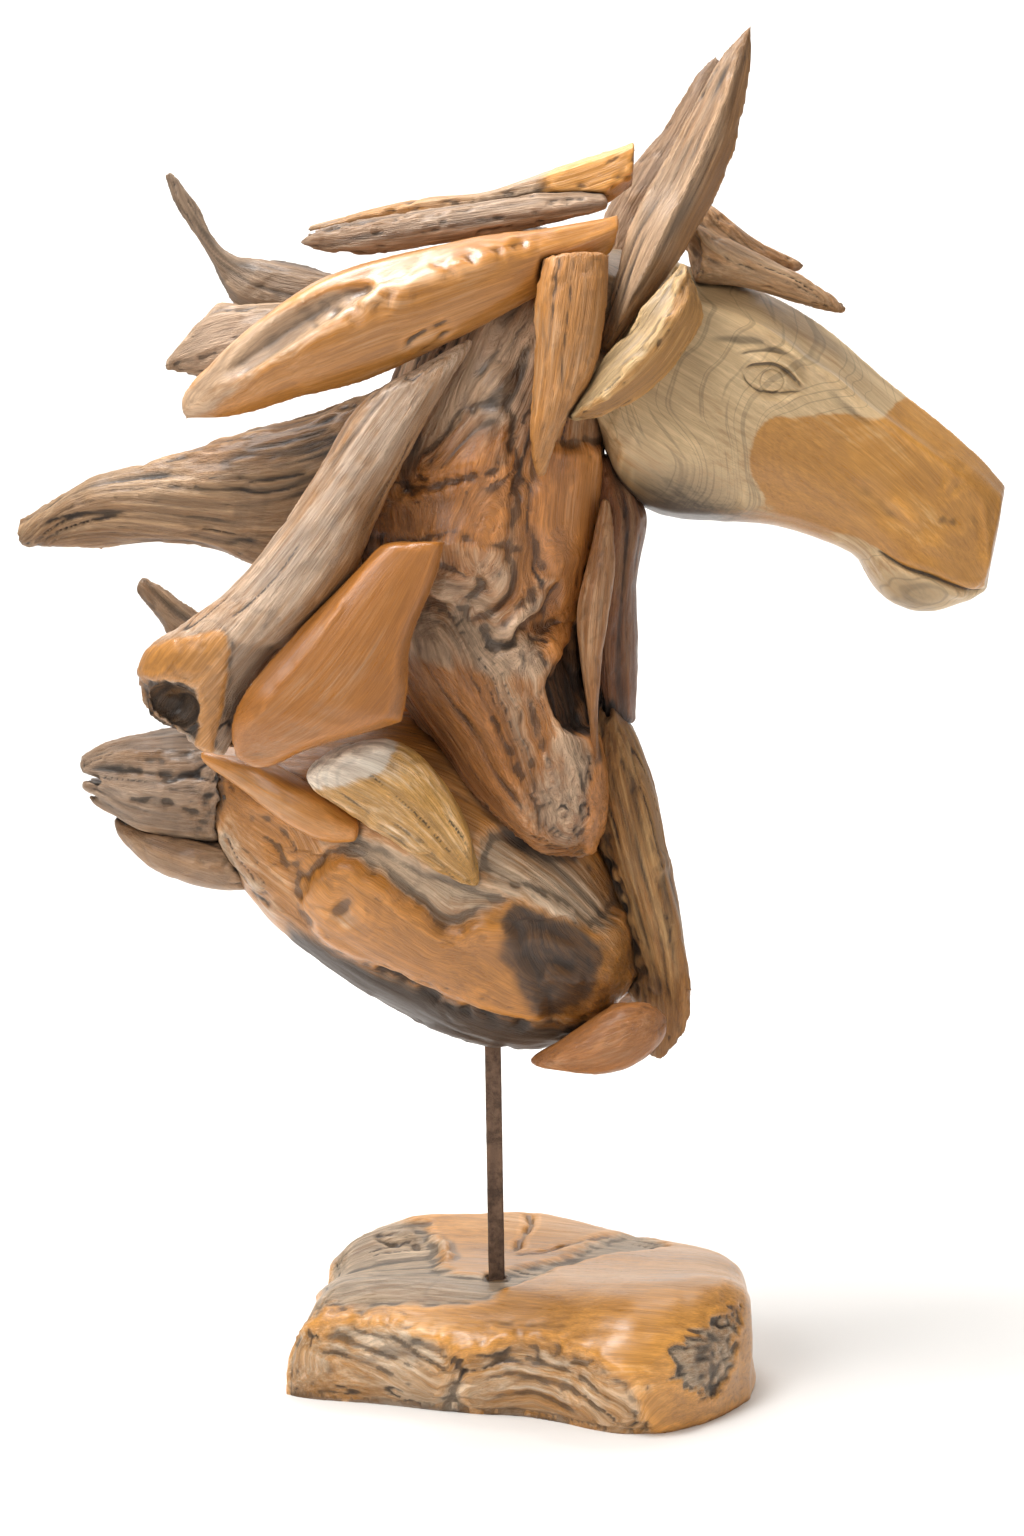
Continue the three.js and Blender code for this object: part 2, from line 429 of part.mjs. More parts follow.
// The far side, plainer: each piece faces away, +Y.
const AWAY = [0, 1, 0];
const far = {
  far_neck_board: [() => shard({
    upper: [[-14, 84, 812], [-18, 92, 740], [-16, 94, 660], [-2, 88, 580], [22, 74, 510]],
    lower: [[46, 78, 818], [54, 86, 740], [58, 88, 660], [54, 84, 580], [34, 74, 508]],
    front: [14, 18, 20, 17, 6], back: [34, 40, 40, 34, 14], steps: 8, rough: 2, seed: 31, facing: AWAY,
  }), wood(RIVER_TEAK, 0.45)],
  far_cheek_piece: [() => shard({
    upper: [[124, 80, 826], [104, 90, 800], [84, 94, 774], [58, 96, 742]],
    lower: [[132, 80, 822], [138, 86, 790], [116, 92, 754], [66, 96, 730]],
    front: [4, 14, 16, 5], back: [16, 32, 34, 14], face: roof(0.5), steps: 6, rough: 1.5, seed: 32, facing: AWAY,
  }), wood(PALE_SAP, 0.6)],
  far_mane_blade: [() => shard({
    upper: [[-176, 62, 766], [-120, 74, 802], [-40, 76, 834], [30, 66, 850], [70, 58, 856]],
    lower: [[-174, 62, 752], [-110, 76, 758], [-34, 84, 780], [36, 74, 816], [72, 62, 832]],
    front: [5, 18, 24, 18, 10], back: [5, 20, 30, 30, 20], steps: 9, rough: 1.5, seed: 33, facing: AWAY,
  }), wood(RIVER_TEAK, 0.4)],
  far_mane_sweep: [() => shard({
    upper: [[-24, 92, 752], [-84, 92, 716], [-124, 92, 656], [-164, 86, 602], [-196, 78, 572]],
    lower: [[-20, 94, 738], [-52, 98, 676], [-84, 100, 612], [-122, 94, 560], [-158, 82, 528]],
    front: [4, 18, 22, 22, 12], back: [8, 28, 34, 34, 24], steps: 9, rough: 2, seed: 34, facing: AWAY, bulge: [2, 8],
  }), wood(WEATHERED, 0.5)],
  far_shield: [() => shard({
    upper: [[-60, 96, 622], [-92, 100, 574], [-132, 98, 522], [-142, 92, 492]],
    lower: [[-18, 94, 616], [-22, 98, 560], [-34, 96, 506], [-72, 92, 474]],
    front: [8, 13, 13, 6], back: [26, 36, 36, 20], face: slab(0.15, 0.2), steps: 7, rough: 0.8, seed: 35, facing: AWAY,
  }), wood(RIVER_TEAK, 0.35)],
  far_wedge: [() => shard({
    upper: [[-120, 74, 474], [-84, 86, 486], [-30, 88, 478], [24, 82, 448], [48, 72, 410]],
    lower: [[-112, 72, 446], [-72, 84, 426], [-26, 84, 406], [14, 78, 394], [40, 70, 392]],
    front: [6, 18, 22, 18, 6], back: [16, 32, 36, 32, 16], steps: 8, rough: 2, seed: 36, facing: AWAY,
  }), wood(PALE_SAP, 0.45)],
  far_chest_wedge: [() => shard({
    upper: [[34, 62, 284], [62, 68, 300], [92, 62, 308], [112, 46, 300]],
    lower: [[36, 62, 276], [64, 66, 266], [92, 60, 270], [112, 46, 284]],
    front: [3, 13, 13, 4], back: [14, 36, 36, 16], steps: 6, rough: 0.8, seed: 37, facing: AWAY,
  }), wood(RIVER_TEAK, 0.5)],
};

/** Two boxes, each as { min, max }, meet. */
const boxesMeet = (a, b) => [0, 1, 2].every((i) => a.min[i] < b.max[i] && b.min[i] < a.max[i]);

/** The largest of a solid's separate bodies. */
const largest = (solid) => solid.decompose().reduce((best, body) => (body.volume() > best.volume() ? body : best));

const sculpture = new THREE.Group();
sculpture.name = "driftwood_horse_head";
const fitted = [];
for (const [name, [make, material]] of Object.entries({ ...near, ...far })) {
  let solid = make();
  for (const earlier of fitted)
    if (boxesMeet(earlier.boundingBox(), solid.boundingBox())) solid = solid.subtract(earlier);
  solid = largest(solid);
  fitted.push(grown(solid, JOINT_GAP));
  const { points, faces } = meshOf(solid);
  const geometry = new THREE.BufferGeometry().setFromPoints(points).setIndex(faces.flat());
  const mesh = new THREE.Mesh(geometry.toNonIndexed(), material);
  mesh.geometry.computeVertexNormals();
  mesh.name = name;
  sculpture.add(mesh);
}

export default sculpture;
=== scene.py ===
"""Looks of a horse's head in profile, made of shards of teak driftwood, on a steel bar in a block.

Every CAD piece is replaced by a finer mesh of the same shape, carved in code. Its facets are rounded off,
and swellings, grooves, cracks and knots are cut into it. What was cut is kept with each vertex, so that the
colours lie where the relief does. Lengths are in millimetres until a mesh is made. x is the way the horse
looks, z is up, and -y is the near side.
"""
import math
from dataclasses import dataclass

import bmesh
import bpy
import numpy as np
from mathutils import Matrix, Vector
from mathutils.bvhtree import BVHTree


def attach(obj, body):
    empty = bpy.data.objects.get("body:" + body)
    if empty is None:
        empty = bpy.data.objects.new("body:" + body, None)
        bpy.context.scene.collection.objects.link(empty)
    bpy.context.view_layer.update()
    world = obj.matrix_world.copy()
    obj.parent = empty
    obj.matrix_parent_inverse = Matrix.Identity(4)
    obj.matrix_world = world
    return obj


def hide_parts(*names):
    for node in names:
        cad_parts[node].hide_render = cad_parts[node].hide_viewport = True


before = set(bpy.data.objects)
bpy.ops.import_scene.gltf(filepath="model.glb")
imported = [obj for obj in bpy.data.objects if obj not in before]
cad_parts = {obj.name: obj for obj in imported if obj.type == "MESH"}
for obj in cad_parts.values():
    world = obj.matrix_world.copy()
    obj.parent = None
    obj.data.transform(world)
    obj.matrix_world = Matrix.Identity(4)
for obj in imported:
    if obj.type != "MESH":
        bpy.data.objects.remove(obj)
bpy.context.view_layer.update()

MM = 0.001
WELD = 0.002 * MM  # CAD vertices closer than this are one
CREASE = math.cos(math.radians(42))  # CAD faces that meet more sharply than this keep their edge
EVEN_OUT = (0.55, -0.57)  # one step of smoothing inwards, and one outwards that undoes the shrinking
JOINT_SHADE_REACH = 3.5  # how far from a neighbouring piece the painted shade of a joint reaches
DRIFT_SLOW, DRIFT_QUICK = 22, 8  # over what lengths the edge of a mark wanders
FADE_LENGTH = 13  # over what length a drawn line grows weaker and stronger
NEAR, BOTH = -1, 0
BLOCK = "base_block"
FOOT, RAMP = 1.5, 6  # the block's flat underside, and the height up to which its carving grows
HASH_STEPS = (73856093, 19349663, 83492791)
HASH_SEED, HASH_MIX = 2654435761, 1274126177

CAMERA_PLACE = (0.011, -2.23, 0.775)
CAMERA_PITCH = math.radians(90 - 7.9)
CAMERA_LENS = 71.95
COVE_START, COVE_RADIUS, COVE_HALF_WIDTH, COVE_TOP = 3.2, 1.2, 7, 5.0
WHITE = (238, 236, 233)


# ---------------- noise

def _directions(count):
    """Unit vectors spread evenly over a sphere."""
    i = np.arange(count) + 0.5
    height = 1 - 2 * i / count
    turn = math.pi * (1 + 5 ** 0.5) * i
    ring = np.sqrt(1 - height * height)
    return np.stack([ring * np.cos(turn), ring * np.sin(turn), height], axis=1)


DIRECTIONS = _directions(64)


def noise(points, seed=0):
    """Gradient noise, about -1 to 1, that changes over a distance of 1."""
    cell = np.floor(points).astype(np.int64)
    inside = points - cell
    fade = inside ** 3 * (inside * (inside * 6 - 15) + 10)
    total = np.zeros(len(points))
    for corner in np.ndindex(2, 2, 2):
        at = cell + corner
        x, y, z = (at[:, k] * step for k, step in enumerate(HASH_STEPS))
        key = x ^ y ^ z ^ (seed * HASH_SEED)
        key = ((key ^ (key >> 13)) * HASH_MIX) & 0xFFFFFFFF
        slope = DIRECTIONS[(key >> 11) & 63]
        weight = np.where(corner, fade, 1 - fade).prod(axis=1)
        total += weight * (slope * (inside - corner)).sum(axis=1)
    return total * 1.7


def fractal(points, octaves=3, seed=0, gain=0.5):
    """Noise with finer and weaker noise on top."""
    total, strength = 0, 1
    for i in range(octaves):
        total = total + strength * noise(points * 2 ** i + 11.3 * i, seed + 17 * i)
        strength *= gain
    return total


def smoothstep(low, high, x):
    """0 below low, 1 above high, and a soft step between them."""
    t = np.clip((x - low) / (high - low), 0, 1)
    return t * t * (3 - 2 * t)


# ---------------- lines

def curve(points, steps=6):
    """A smooth line through points."""
    p = np.asarray(points, float)
    if len(p) < 3:
        return p
    p = np.vstack([2 * p[0] - p[1], p, 2 * p[-1] - p[-2]])
    t = np.linspace(0, 1, steps, endpoint=False)[:, None]
    spans = []
    for a, b, c, d in zip(p, p[1:], p[2:], p[3:]):
        square, cube = 2 * a - 5 * b + 4 * c - d, 3 * b - a - 3 * c + d
        spans.append(0.5 * (2 * b + (c - a) * t + square * t ** 2 + cube * t ** 3))
    return np.vstack(spans + [p[-2:-1]])


def from_line(points, line):
    """Each point's distance from a line, its side of the line, and how far along it lies, 0 to 1."""
    nearest = np.full(len(points), np.inf)
    side = np.zeros(len(points))
    place = np.zeros(len(points))
    lengths = np.linalg.norm(np.diff(line, axis=0), axis=1)
    starts = np.concatenate([[0], np.cumsum(lengths)])
    for a, b, start, length in zip(line, line[1:], starts, lengths):
        way = (b - a) / length
        along = np.clip((points - a) @ way, 0, length)
        off = points - (a + along[:, None] * way)
        distance = np.linalg.norm(off, axis=1)
        closer = distance < nearest
        nearest = np.where(closer, distance, nearest)
        side = np.where(closer, np.sign(way[0] * off[:, 1] - way[1] * off[:, 0]), side)
        place = np.where(closer, start + along, place)
    return nearest, side, place / starts[-1]


def inside_outline(points, outline):
    """Whether each point lies inside a closed outline."""
    inside = np.zeros(len(points), bool)
    for (ax, az), (bx, bz) in zip(outline, np.roll(outline, -1, axis=0)):
        if az == bz:
            continue
        crosses = (az > points[:, 1]) != (bz > points[:, 1])
        inside ^= crosses & (points[:, 0] < (bx - ax) * (points[:, 1] - az) / (bz - az) + ax)
    return inside


# ---------------- carving

def welded(node):
    """A CAD node's vertices in mm and its triangles, with the vertices that share a place made one."""
    bm = bmesh.new()
    bm.from_mesh(node.data)
    bmesh.ops.remove_doubles(bm, verts=bm.verts, dist=WELD)
    bmesh.ops.triangulate(bm, faces=bm.faces)
    bm.verts.index_update()
    points = np.array([v.co[:] for v in bm.verts]) / MM
    triangles = np.array([[v.index for v in f.verts] for f in bm.faces])
    bm.free()
    return points, triangles


def remeshed(points, triangles, size):
    """The same closed surface as even faces of one size."""
    mesh = bpy.data.meshes.new("remesh")
    mesh.from_pydata(points.tolist(), [], triangles.tolist())
    piece = bpy.data.objects.new("remesh", mesh)
    bpy.context.scene.collection.objects.link(piece)
    remesh = piece.modifiers.new("remesh", "REMESH")
    remesh.mode = "VOXEL"
    remesh.voxel_size = size
    fine = bpy.data.meshes.new_from_object(piece.evaluated_get(bpy.context.evaluated_depsgraph_get()))
    bpy.data.objects.remove(piece)
    bpy.data.meshes.remove(mesh)
    return fine


def corner_normals(points, triangles):
    """A normal for each corner of each triangle, smooth across all but the creases."""
    corners = points[triangles]
    flat = np.cross(corners[:, 1] - corners[:, 0], corners[:, 2] - corners[:, 0])
    flat /= np.maximum(np.linalg.norm(flat, axis=1, keepdims=True), 1e-12)
    around = [[] for _ in points]
    for t, triangle in enumerate(triangles):
        for k in range(3):
            a, b, c = (points[triangle[(k + j) % 3]] for j in range(3))
            angle = Vector(b - a).angle(Vector(c - a), 0)
            around[triangle[k]].append((t, angle))
    normals = np.zeros((len(triangles), 3, 3))
    for t, triangle in enumerate(triangles):
        for k in range(3):
            for other, angle in around[triangle[k]]:
                if flat[t] @ flat[other] > CREASE:
                    normals[t, k] += flat[other] * angle
    return normals / np.maximum(np.linalg.norm(normals, axis=2, keepdims=True), 1e-12)


def read(items, key, width=3):
    """One value, or one row of values, for each of a mesh's vertices or edges."""
    values = np.empty(len(items) * width, int if key == "vertices" else float)
    items.foreach_get(key, values)
    return values.reshape(-1, width)


class Carving:
    """A piece of driftwood. Cuts add up in lift, and settle() moves the surface by them."""

    def __init__(self, name, wood):
        self.name, self.wood = name, wood
        self.seed = sum(map(ord, name))
        cad, triangles = CAD[name]
        mesh = remeshed(cad, triangles, wood.cell)
        if wood.refine:
            refined(mesh, wood.refine)
        self.mesh = mesh
        count = len(mesh.vertices)
        self.points = read(mesh.vertices, "co")
        self.edges = read(mesh.edges, "vertices", 2)
        self.degree = np.maximum(np.bincount(self.edges.ravel(), minlength=count), 1)
        self.round_off(cad, triangles)
        self.smooth(wood.smoothing)
        self.start = self.points.copy()
        self.lift = np.zeros(count)
        self.dark = np.zeros(count)
        self.swirl = np.zeros(count)
        self.worn = np.full(count, float(wood.worn))
        self.rough = np.full(count, float(wood.rough))
        self.set_grain()
        self.update_normals()
        self.look_from("side")

    def round_off(self, cad, triangles):
        """Moves the points from the flat CAD facets to the curved surface through their corners."""
        normals = corner_normals(cad, triangles)
        tree = BVHTree.FromPolygons(cad.tolist(), triangles.tolist())
        found = [tree.find_nearest(p) for p in self.points.tolist()]
        foot = np.array([f[0][:] for f in found])
        face = np.array([f[2] for f in found])
        corners = cad[triangles[face]]
        side_b, side_c = corners[:, 1] - corners[:, 0], corners[:, 2] - corners[:, 0]
        to = foot - corners[:, 0]
        bb, bc, cc = ((p * q).sum(1) for p, q in ((side_b, side_b), (side_b, side_c), (side_c, side_c)))
        tb, tc = (to * side_b).sum(1), (to * side_c).sum(1)
        scale = np.maximum(bb * cc - bc * bc, 1e-9)
        b, c = (cc * tb - bc * tc) / scale, (bb * tc - bc * tb) / scale
        share = np.clip(np.stack([1 - b - c, b, c], axis=1), 0, 1)
        corner = normals[face]
        drop = ((foot[:, None] - corners) * corner).sum(2, keepdims=True)
        self.points -= self.wood.rounding * (share[:, :, None] * drop * corner).sum(1)

    def averaged(self, values, rounds=1):
        """Each vertex's value averaged over the vertices next to it."""
        a, b = self.edges.T
        count = len(self.degree)
        for _ in range(rounds):
            columns = values.reshape(count, -1)
            total = [np.bincount(a, column[b], count) + np.bincount(b, column[a],
                                                                    count) for column in columns.T]
            values = (np.stack(total, axis=1) / self.degree[:, None]).reshape(values.shape)
        return values

    def smooth(self, rounds):
        """Evens out the surface without shrinking it."""
        for _ in range(rounds):
            for step in EVEN_OUT:
                self.points += step * (self.averaged(self.points) - self.points)

    def update_normals(self):
        """Hands the points to Blender and reads the normals back."""
        self.mesh.vertices.foreach_set("co", self.points.ravel())
        self.mesh.update()
        self.normals = read(self.mesh.vertex_normals, "vector")

    def settle(self, rounds=0):
        """Moves the surface by what has been cut so far."""
        for _ in range(rounds):
            self.lift = 0.5 * (self.lift + self.averaged(self.lift))
        self.points += self.normals * self.lift[:, None]
        self.lift[:] = 0
        self.update_normals()

    # Where the wood's own directions lie.

    def set_grain(self):
        """Coordinates that run along the piece and its fibres (u) and across them (v and w)."""
        centre = self.points.mean(axis=0)
        if self.wood.axis:
            along = np.array(self.wood.axis, float)
            along /= np.linalg.norm(along)
            side = np.cross(along, (0, 1, 0))
            side /= np.linalg.norm(side)
            axes = np.stack([along, side, np.cross(along, side)])
        else:
            axes = np.linalg.svd((self.points - centre)[::5], full_matrices=False)[2]
            axes *= np.sign(axes[np.arange(3), np.abs(axes).argmax(axis=1)])[:, None]
        local = (self.points - centre) @ axes.T
        share = local[:, 0] / np.abs(local[:, 0]).max()
        bends, widths = np.vander(share, 4), np.vander(share, 3)
        for k in (1, 2):
            local[:, k] -= bends @ np.linalg.lstsq(bends, local[:, k], rcond=None)[0]
            half = widths @ np.linalg.lstsq(widths, np.abs(local[:, k]), rcond=None)[0]
            half = np.maximum(half, 0.3 * half.mean())
            local[:, k] /= (half / half.mean()) ** 0.6
        self.grain = local

    def comb(self, points, width):
        """Turns the fibres near a line to run along it."""
        line = curve(points)
        distance, hand, place = from_line(self.drawn, line)
        length = np.linalg.norm(np.diff(line, axis=0), axis=1).sum()
        mask = np.exp(-(distance / width) ** 2) * self.facing(NEAR)
        for k, value in ((0, place * length), (1, hand * distance)):
            value = value + (mask * (self.grain[:, k] - value)).sum() / mask.sum()
            self.grain[:, k] += mask * (value - self.grain[:, k])

    def rings(self):
        """Each point's distance from the middle of its tree, with waves and knots."""
        spread = np.abs(self.grain).mean(axis=0)
        v, w = (self.grain[:, k] - self.wood.pith[k - 1] * spread[k] for k in (1, 2))
        drift = fractal(self.grain / (170, 60, 60), 2, self.seed)
        return np.hypot(v, w) + self.wood.waviness * drift + self.swirl

    def stretched(self, along, across, seed=0, warp=0.35):
        """Grain coordinates counted in lengths along and across the fibres, bent a little."""
        bend = warp * fractal(self.grain / (along, 4 * across, 4 * across), 2, self.seed + seed + 5)
        q = self.grain / (along, across, across)
        q[:, 1] += bend
        q[:, 2] -= bend
        return q

    # Masks: 1 where a thing is, 0 where it isn't. A thing's place is drawn as it is seen from one side.

    def look_from(self, view):
        """Sets how places are given from here on: x and z for "side", x and y for "above"."""
        self.axes, self.out = ((0, 2), 1) if view == "side" else ((0, 1), 2)
        reach = self.wood.unsteady
        slow, quick = self.start / DRIFT_SLOW, self.start / DRIFT_QUICK
        drift = [noise(slow, 31 + k) + 0.45 * noise(quick, 41 + k) for k in (0, 1)]
        # Where each vertex is on the drawing, with the unsteady edges of natural things.
        self.drawn = self.start[:, self.axes] + reach * np.stack(drift, axis=1)
        faint = 0.75 - 0.75 * smoothstep(-0.45, 0.35, noise(self.start / FADE_LENGTH, 51))
        self.firm = 1 - min(reach / 2, 1) * faint

    def facing(self, side):
        """Which part of the surface looks to one side."""
        if self.out == 2:
            return smoothstep(0.1, 0.6, self.normals[:, 2])
        return 1.0 if side == BOTH else smoothstep(-0.15, 0.25, side * self.normals[:, 1])

    def mark(self, mask, lift=0.0, dark=0.0, worn=0.0, rough=0.0, swirl=0.0):
        """Changes the surface where the mask is."""
        self.lift += lift * mask
        self.dark += dark * mask
        self.worn += worn * mask
        self.rough += rough * mask
        self.swirl += swirl * mask

    def line(self, points, width, side=NEAR, ends=0.3, dark=0.0, **change):
        """A groove, or a ridge where lift is positive. ends is the share of it that fades out."""
        distance, _, place = from_line(self.drawn, curve(points))
        fade = smoothstep(0, ends, place) * smoothstep(0, ends, 1 - place) if ends else 1.0
        fade = fade * self.facing(side) * self.firm
        self.mark(np.exp(-(distance / width) ** 2) * fade, **change)
        self.dark += dark * np.exp(-(distance / (0.7 * width)) ** 2) * fade

    def spot(self, centre, radius, side=NEAR, squash=1.0, turn=0.0, power=2, **change):
        """A round knob, dish, stain or patch of painted shade. squash is its height over its width, and turn
        its tilt in degrees.
        """
        c, s = math.cos(math.radians(turn)), math.sin(math.radians(turn))
        x, z = (self.drawn - centre).T
        away = np.hypot(x * c + z * s, (z * c - x * s) / squash) / radius
        self.mark(np.exp(-away ** power) * self.facing(side), **change)

    def knot(self, centre, radius, height, hole):
        """A knot: the rings run round it, its rim stands up, and its heart may have rotted out."""
        self.spot(centre, 1.6 * radius, lift=height, swirl=2.4 * radius)
        self.spot(centre, 0.5 * radius, lift=-hole, dark=0.2 + 0.15 * hole, power=3)

    def area(self, outline, soft, ragged=0.0, **change):
        """Everything inside an outline, with a soft and maybe ragged edge."""
        outline = curve(np.vstack([outline, outline[:1]]), 3)
        flat = self.drawn
        distance, _, _ = from_line(flat, outline)
        depth = np.where(inside_outline(flat, outline), distance, -distance)
        if ragged:
            depth = depth + ragged * fractal(self.stretched(40, 9), 2, 3)
        self.mark(smoothstep(-soft, soft, depth) * self.facing(NEAR), **change)

    # What every piece of driftwood has.

    def swell(self):
        """Slow swellings, longer along the grain than across it, with ridges between them on split wood."""
        height, length = self.wood.gnarl
        q = self.stretched(2.4 * length, length)
        waves = fractal(q, 3, self.seed + 1, 0.45)
        ridges = 0.5 - 1.6 * np.abs(noise(q * 0.8, self.seed + 9)) - 0.5 * np.abs(noise(q * 1.9,
                                                                                        self.seed + 10))
        self.lift += height * (waves + self.wood.sharp * (ridges - waves))

    def weather(self):
        """Strands with grooves between them where the wood is rough, drying cracks, and chipped edges."""
        wood = self.wood
        width, depth = wood.strands
        ring = self.rings()
        rough = self.rough + 0.3 * min(wood.rough + 0.3, 1) * fractal(self.stretched(110, 45, 40), 2,
                                                                      self.seed + 2)
        rough = np.clip(rough, 0, 1.3)
        strands = noise(self.stretched(20 * width, width, 7), self.seed + 4)
        strands += 0.5 * noise(self.stretched(12 * width, 0.6 * width, 8), self.seed + 5)
        layers = noise(np.stack([ring / (1.3 * width), self.grain[:, 0] / 240, 0 * ring], axis=1),
                       self.seed + 3)
        profile = 0.8 * strands + 0.5 * layers
        profile = np.where(profile > 0, 0.55 * profile, profile)
        self.lift += depth * rough * profile
        self.relief = rough * profile
        if wood.cracks:
            split = noise(self.stretched(210, 17, 21, 0.3), self.seed + 6)
            here = smoothstep(0.15, 0.5, noise(self.stretched(80, 30, 22), self.seed + 8))
            crack = np.exp(-(split / 0.06) ** 2) * (here * smoothstep(0.1, 0.5, rough))
            self.lift -= wood.cracks * crack
            self.dark += 0.5 * min(wood.cracks, 1.6) * crack
        if wood.chips:
            edge = smoothstep(0.03, 0.25, -self.averaged(self.hollowness(), 2))
            bites = smoothstep(0.0, 0.7, fractal(self.stretched(16, 8, 31), 2, self.seed + 12))
            self.lift -= wood.chips * edge * bites
        self.ring = ring

    def hollowness(self):
        """How far each vertex lies below the ones around it."""
        return ((self.averaged(self.points, 4) - self.points) * self.normals).sum(axis=1)

    def finish(self, others):
        """Turns the carving into a piece with its attributes and material."""
        hollow = self.hollowness()
        tree = BVHTree.FromPolygons(*others)
        reach = 4 * JOINT_SHADE_REACH
        gaps = [tree.find_nearest(p, reach)[3] for p in self.start.tolist()]
        gap = self.averaged(np.array([reach if g is None else g for g in gaps]), 2)
        # Painted shade: the surface darkens close to a neighbouring piece, where shade falls in the joint.
        self.dark += 0.7 * np.exp(-(gap / JOINT_SHADE_REACH) ** 2)
        mesh = self.mesh
        mesh.vertices.foreach_set("co", (self.points * MM).ravel())
        values = {
            "ring": self.ring * MM,
            "worn": np.clip(self.worn, 0, 1),
            "dark": np.clip(self.dark, 0, 1),
            "relief": np.clip(0.5 + 0.5 * self.relief, 0, 1),
            "rough": np.clip(self.rough, 0, 1),
            "hollow": np.clip(0.5 + 0.9 * hollow, 0, 1),
        }
        for key, value in values.items():
            mesh.attributes.new(key, "FLOAT", "POINT").data.foreach_set("value", value.astype(np.float32))
        grain = mesh.attributes.new("grain", "FLOAT_VECTOR", "POINT")
        grain.data.foreach_set("vector", (self.grain * MM).astype(np.float32).ravel())
        mesh.materials.clear()
        mesh.materials.append(wood_material(self.name, self.wood))
        show(mesh, "carved_" + self.name, self.name)


def show(mesh, name, node):
    """Puts a mesh in the scene as the piece that stands for a CAD node."""
    mesh.name = name
    mesh.polygons.foreach_set("use_smooth", np.ones(len(mesh.polygons), bool))
    mesh.update()
    piece = bpy.data.objects.new(name, mesh)
    bpy.context.scene.collection.objects.link(piece)
    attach(piece, "root")
    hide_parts(node)


def refined(mesh, zones):
    """Divides the faces inside each zone once. A zone is a box, given by its lowest and highest x and z."""
    bm = bmesh.new()
    bm.from_mesh(mesh)
    for (x0, z0), (x1, z1) in zones:
        chosen = set()
        for face in bm.faces:
            x, _, z = face.calc_center_median()
            if x0 < x < x1 and z0 < z < z1:
                chosen.update(face.edges)
        bmesh.ops.subdivide_edges(bm, edges=list(chosen), cuts=1, use_grid_fill=True)
    bm.to_mesh(mesh)
    bm.free()


# ---------------- materials

def linear(colour):
    """An sRGB colour, 0 to 255, as the shader takes it."""
    parts = (v / 255 for v in colour)
    return tuple(c / 12.92 if c <= 0.04045 else ((c + 0.055) / 1.055) ** 2.4 for c in parts) + (1,)


class Nodes:
    """Short ways to build a material's nodes."""

    def __init__(self, name):
        self.material = bpy.data.materials.new(name)
        self.material.use_nodes = True
        self.tree = self.material.node_tree
        self.shader = next(n for n in self.tree.nodes if n.type == "BSDF_PRINCIPLED")

    def add(self, kind, inputs=(), **settings):
        node = self.tree.nodes.new(kind)
        for key, value in settings.items():
            setattr(node, key, value)
        for key, value in dict(inputs).items():
            if isinstance(value, bpy.types.NodeSocket):
                self.tree.links.new(value, node.inputs[key])
            else:
                node.inputs[key].default_value = value
        return node

    def attribute(self, name, output="Fac"):
        return self.add("ShaderNodeAttribute", attribute_name=name).outputs[output]

    def math(self, operation, *values):
        return self.add("ShaderNodeMath", enumerate(values), operation=operation).outputs[0]

    def scaled(self, vector, factors):
        return self.add("ShaderNodeVectorMath", {0: vector, 1: factors}, operation="MULTIPLY").outputs[0]

    def noise(self, vector, scale=1.0, detail=2.0, roughness=0.5):
        inputs = {"Vector": vector, "Scale": scale, "Detail": detail, "Roughness": roughness}
        return self.add("ShaderNodeTexNoise", inputs).outputs["Fac"]

    def remap(self, value, low, high, to_low=0.0, to_high=1.0):
        inputs = {"Value": value, "From Min": low, "From Max": high, "To Min": to_low, "To Max": to_high}
        return self.add("ShaderNodeMapRange", inputs, interpolation_type="SMOOTHSTEP").outputs[0]

    def weighed(self, *terms):
        """The sum of values, each times its weight."""
        total = 0.0
        for value, weight in terms:
            total = self.math("MULTIPLY_ADD", value, weight, total)
        return total

    def tinted(self, colour, mask, factor):
        """The colour times a factor where the mask is."""
        return self.mix(mask, colour, self.mix(1.0, colour, (factor, factor, factor, 1), "MULTIPLY"))

    def mix(self, factor, a, b, blend="MIX"):
        node = self.add("ShaderNodeMix", data_type="RGBA", blend_type=blend)
        for key, value in (("Factor_Float", factor), ("A_Color", a), ("B_Color", b)):
            socket = next(s for s in node.inputs if s.identifier == key)
            if isinstance(value, bpy.types.NodeSocket):
                self.tree.links.new(value, socket)
            else:
                socket.default_value = value
        return next(s for s in node.outputs if s.identifier == "Result_Color")


def shade(colour, factor, warmth=0.0):
    """A colour made lighter or darker, and redder where warmth is positive."""
    r, g, b = colour
    return (min(r * factor * (1 + warmth), 255), min(g * factor, 255), min(b * factor * (1 - warmth), 255))


